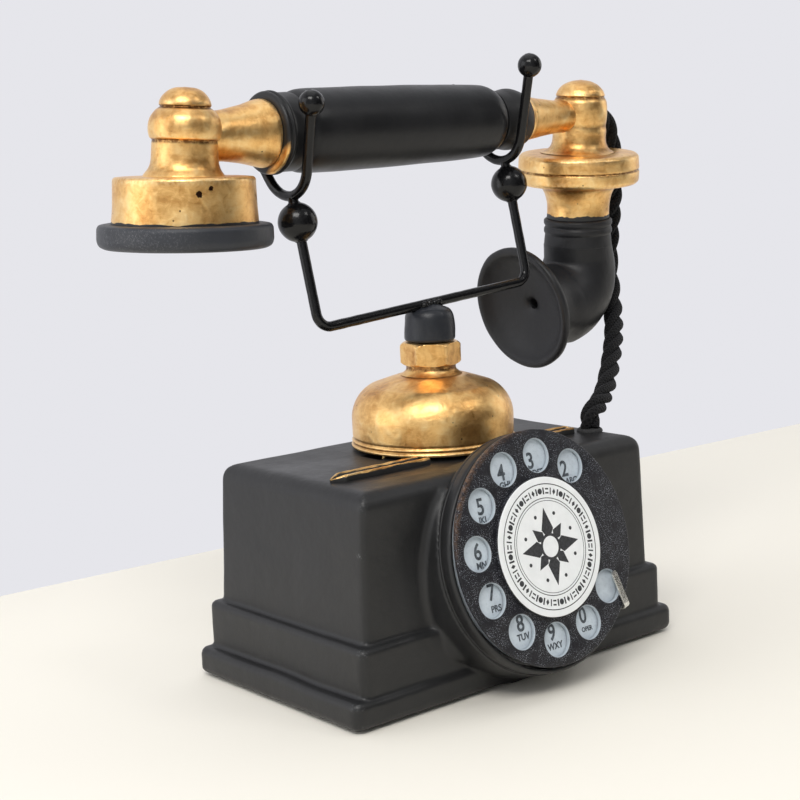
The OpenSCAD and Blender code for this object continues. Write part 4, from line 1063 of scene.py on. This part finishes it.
lathe("receiver_tube", "receiver_arm", GRIP, "handset", "antique_gold", 112, [
    (0, -84), (7.3, -84, 0.3), (7.6, -78, 1.5), (7.95, -72.5, 2), (8.7, -68, 2.5), (9.2, -65.2, 1.5),
    (10.2, -61.2, 1.2), (10.75, -58.8, 0.7), (10.7, -57.3, 0.3), (0, -57.25)], lump=(0.14, 6), seed=7)
lathe("receiver_knuckle", "receiver_hub", LEFT, "handset", "antique_gold", 120, [
    (0, -12.9), (13.4, -12.9, 0.2), (12.5, -11.2, 0.8), (11.0, -9.4, 1.0), (10.35, -7.4, 1.0), (10.15, -4.5, 1.0),
    (10.1, -1.6, 0.5), (9.95, -0.75, 0.25), (10.75, -0.2, 0.4), (11.15, 1.6, 1.2), (11.2, 4.0, 1.5), (10.6, 6.2, 1.2),
    (9.0, 8.2, 0.9), (7.9, 8.9, 0.4), (7.5, 9.25, 0.25), (7.95, 9.7, 0.4), (7.8, 10.8, 0.8), (7.0, 12.4, 1.2),
    (5.3, 14.1, 1.2), (3.2, 14.95, 0.8), (0, 15.15)], soft=0.6, longest=0.9, lump=(0.14, 5), seed=9)
lathe("receiver_case", "receiver_shell", CUP, "handset", "receiver_gold", 144, [
    (0, -10.7), (18.6, -10.7, 0.8), (21.2, -10.9, 0.5), (21.75, -11.6, 0.4), (21.85, -15, 2), (22.0, -20, 2),
    (22.6, -25.4, 0.3), (21.2, -25.4, 0.2), (21.0, -14.0, 0.4), (0, -14.0)], soft=0.8, lump=(0.14, 9), seed=10)
lathe("receiver_ear_cap", "ear_cap", CUP, "handset", "ear_cap_black", 144, [
    (4.2, -26.8), (12, -26.8, 0.2), (14, -25.4, 0.3), (22.5, -25.4, 0.1), (22.6, -25.0, 0.2), (24.4, -24.9, 0.6),
    (26.3, -25.2, 0.7), (26.9, -26.2, 0.7), (27.0, -30.0, 0.9), (26.4, -31.7, 0.8), (24.8, -32.5, 0.6),
    (19.6, -32.5, 1.2), (11, -30.0, 2.0), (5.2, -29.2, 0.5), (4.2, -28.8, 0.3)], True, 0.6, 4, 1.6, (0.16, 8), 12)

lathe("transmitter_tube", "transmitter_arm", GRIP, "handset", "antique_gold", 112, [
    (0, 55.6), (8.3, 55.65, 0.3), (8.5, 56.2, 0.4), (8.0, 57.2, 0.8), (7.6, 60, 2), (7.0, 64, 2), (6.4, 69, 2),
    (5.9, 74, 2), (5.8, 84, 0.3), (0, 84)], lump=(0.12, 6), seed=13)
lathe("transmitter_knuckle", "transmitter_hub", RIGHT, "handset", "antique_gold", 120, [
    (0, -13.5), (14.6, -13.6, 0.3), (12.4, -12.9, 0.8), (10.9, -11.7, 1.0), (10.1, -10.0, 1.2), (9.8, -8.0, 1.0),
    (9.9, -5.4, 0.6), (9.7, -4.5, 0.3), (9.6, -3.8, 0.3), (9.9, -2.0, 0.8), (10.1, 0.6, 2), (10.05, 3.2, 1.6),
    (9.7, 5.4, 0.8), (8.9, 6.6, 0.3), (8.7, 6.9, 0.25), (9.1, 7.4, 0.5), (8.4, 9.2, 1.5), (6.6, 11.2, 1.6),
    (3.4, 12.6, 1.2), (0, 13.0)], soft=0.6, longest=0.9, lump=(0.14, 5), seed=14)
lathe("transmitter_case", "transmitter_shell", RIGHT_LOW, "handset", "ferrule_gold", 144, [
    (0, -13.3), (18.4, -13.4, 1.4), (21.3, -13.8, 0.8), (22.3, -14.8, 0.6), (22.45, -19.2, 0.4), (22.05, -19.7, 0.25),
    (22.5, -20.3, 0.3), (22.45, -23.9, 0.6), (21.2, -25.0, 0.8), (16.0, -25.5, 1.5), (13.7, -26.4, 1.0),
    (12.4, -29, 1.5), (11.6, -32.4, 1.5), (11.5, -35, 1.2), (11.8, -37.9, 0.3), (4.6, -38.0, 0.3), (4.6, -26, 0.3),
    (0, -26)], soft=0.6, lump=(0.18, 6), seed=15)
thread = [(12.75, 0, 0.4), (12.8, -1.4, 0.4), (12.3, -2.1, 0.35), (12.35, -2.6, 0.3)]
lathe("horn_threads", "threaded_collar", RIGHT_LOW, "handset", "horn_black", 144, [
    (4.6, -48), (4.6, -37.95, 0.1), (12.0, -37.95, 0.3),
    *((r, z + at, soft) for at in (-38.5, -41.6) for r, z, soft in thread),
    (12.6, -46.6, 0.6), (12.75, -48, 0.1)], True, 0.3, 3, 1.2, (0.16, 5), 16)

# the elbow's middle line and turn in degrees, and the horn's rings as (distance from the elbow, radius)
ELBOW_R, ELBOW_X, ELBOW_Z, ELBOW_TURN, ELBOW_STEPS = 14.3, -13.5, -53.0, 81.0, 36
BORE, BORE_TOP, LIFT = 1.8, -48.0, 3.9
HORN_OUT = [
    (1, 15.6), (2.5, 15.6), (4, 15.5), (5.5, 15.4), (7, 15.4), (8.5, 15.6), (10, 15.9), (11.5, 16.5), (13, 17.5),
    (14.2, 18.8), (15.2, 20.2), (15.9, 21.4), (16.5, 22.4), (17.2, 23.0), (18.1, 23.2), (18.8, 23.15), (19.3, 22.8),
    (19.6, 22.1), (19.6, 21.2)]
HORN_IN = [
    (19.1, 20.4), (18.4, 19.7), (17.3, 18.5), (16.2, 16.6), (15.2, 14.0), (14.4, 11.0), (13.8, 8.0), (13.3, 5.2),
    (12.9, 3.3), (12.3, 2.1), (11.0, BORE), (5, BORE), (2, BORE)]


def horn_rings():
    """Middle, radius and turn of each ring: down the outside, round the horn's lip and back up the bore."""
    rings = [(Vector((0.08 * i, 0, BORE_TOP - 0.5 * i)), 12.75 + 0.05 * i, 0) for i in range(10)]

    def elbow(i, grow, radius):
        turned = ELBOW_TURN * i / ELBOW_STEPS
        r = ELBOW_R + grow
        rings.append((Vector((ELBOW_X + r * cosd(-turned), 0, ELBOW_Z + r * sind(-turned))), radius, turned))

    for i in range(ELBOW_STEPS + 1):
        grow = 2.3 * math.sin(math.pi / 2 * i / ELBOW_STEPS)
        elbow(i, grow, 13.25 + grow)
    end = rings[-1][0]
    out = Vector((-sind(ELBOW_TURN), 0, -cosd(ELBOW_TURN)))
    lift = Vector((out.z, 0, -out.x))
    rings += [(end + out * h + lift * (LIFT * min(1, h / 12)), r, ELBOW_TURN) for h, r in HORN_OUT + HORN_IN]
    for i in range(ELBOW_STEPS, -1, -2):
        elbow(i, 0, BORE)
    return [*rings, (Vector((0, 0, BORE_TOP)), 2.3, 0)]


def horn(n=96):
    verts = []
    y = Vector((0, 1, 0))
    rings = horn_rings()
    for p, r, turned in rings:
        s = y.cross(Vector((-sind(turned), 0, -cosd(turned)))).normalized()
        for c, d in circle(1, n):
            w = s * c + y * d
            v = p + w * r
            verts.append(v + w * 0.16 * noise.noise(v / 7 + Vector((4, 4, 4))))
    make("mouthpiece_horn", "elbow_horn", (verts, walls(len(rings), n, True)), RIGHT_LOW, "handset", "horn_black", 60)


horn()

# ---------------------------------------------------------------- fittings that keep their CAD shape
INNER = {
    "steel": ((0.36, 0.36, 0.37), (0.48, 0.48, 0.48), 0.36, 0.6, 0.02, 0.9),
    "brass": ((0.45, 0.30, 0.11), (0.62, 0.44, 0.18), 0.32, 0.5, 0.02, 0.95),
    "fibre": ((0.10, 0.045, 0.022), (0.17, 0.085, 0.045), 0.6, 0.8, 0.04, 0.0),
    "coil_wrap": ((0.20, 0.035, 0.018), (0.30, 0.07, 0.035), 0.7, 2.0, 0.06, 0.0),
    "rubber": ((0.018, 0.018, 0.019), (0.030, 0.030, 0.031), 0.8, 0.6, 0.05, 0.0),
    "black_wire": ((0.014, 0.014, 0.015), (0.022, 0.022, 0.023), 0.35, 0.6, 0.03, 0.0),
}
inner_looks = {k: flat_look("cad_" + k, *v, own=False) for k, v in INNER.items()}
slots = {s["node"]: s["material_slot"] for s in frame["record"]["subparts"]}
for name, o in frame["nodes"].items():
    if not o.hide_render:
        o.data.materials.clear()
        o.data.materials.append(inner_looks.get(slots[name], inner_looks["steel"]))

# ---------------------------------------------------------------- stage and light


def sheet(name, corners, material):
    o = mesh_object(name, corners, [(0, 1, 2, 3)])
    o.data.materials.append(material)


s = Shade("table_cream")
shade = s.fit(s.noise(s.frame_mm(), 0.004, 2), 0.3, 0.7, (0, 0.5))
sheet("table", [(-0.9, -0.8, 0), (0.75, -0.8, 0), (0.75, 0.1456, 0), (-0.9, 0.2199, 0)], s.done(
    Base_Color=s.mix(shade, (0.90, 0.865, 0.78), (0.873, 0.83905, 0.7566)), Roughness=0.7, Specular_IOR_Level=0.15))
s = Shade("wall_pale")
sheet("wall", [(-2.5, 0.7, -0.8), (2.5, 0.7, -0.8), (2.5, 0.7, 1.8), (-2.5, 0.7, 1.8)],
      s.end("Material", s.node("Emission", {0: (0.79, 0.79, 0.83)})))

# the room is pale all round, but dim in front to the right
ctx.scene.world = bpy.data.worlds.new("world")
s = Shade(ctx.scene.world)
toward = s.node("VectorMath", {0: s.node("TexCoord"), 1: (0.66, -0.74, -0.10)}, "Value", operation="DOT_PRODUCT")
level = s.fit(toward, 0.25, 0.92, (0.60, 0.05))
s.end("World", s.node("Background", {"Color": (0.95, 0.97, 1.0), "Strength": level}))

for name, at, to, width, height, power, color in (
        ("key", (-0.62, -0.50, 0.95), (0, 0, 0.08), 0.62, 0.38, 7.0, (1.0, 0.98, 0.95)),
        ("second", (0.45, -0.75, 0.95), (0, 0, 0.1), 0.25, 0.25, 1.3, (1.0, 0.98, 0.96)),
        ("side", (-1.0, 0.45, 0.30), (0, 0, 0.08), 1.1, 1.1, 5.0, (0.97, 0.98, 1.0)),
        ("right", (1.3, -0.25, 0.40), (0, 0, 0.08), 0.8, 0.8, 2.4, (1.0, 0.97, 0.93)),
        ("top", (0.1, 0.1, 1.4), (0, 0.05, 0), 1.0, 1.0, 2.0, (1.0, 1.0, 1.0))):
    d = bpy.data.lights.new(name, "AREA")
    d.shape, d.size, d.size_y = "RECTANGLE", width, height
    d.energy, d.color = power, color
    o = linked(name, d)
    o.location = at
    o.rotation_mode = "QUATERNION"
    o.rotation_quaternion = (Vector(to) - Vector(at)).to_track_quat("-Z", "Y")

ctx.scene.view_settings.view_transform = "Standard"
ctx.view_layer.update()
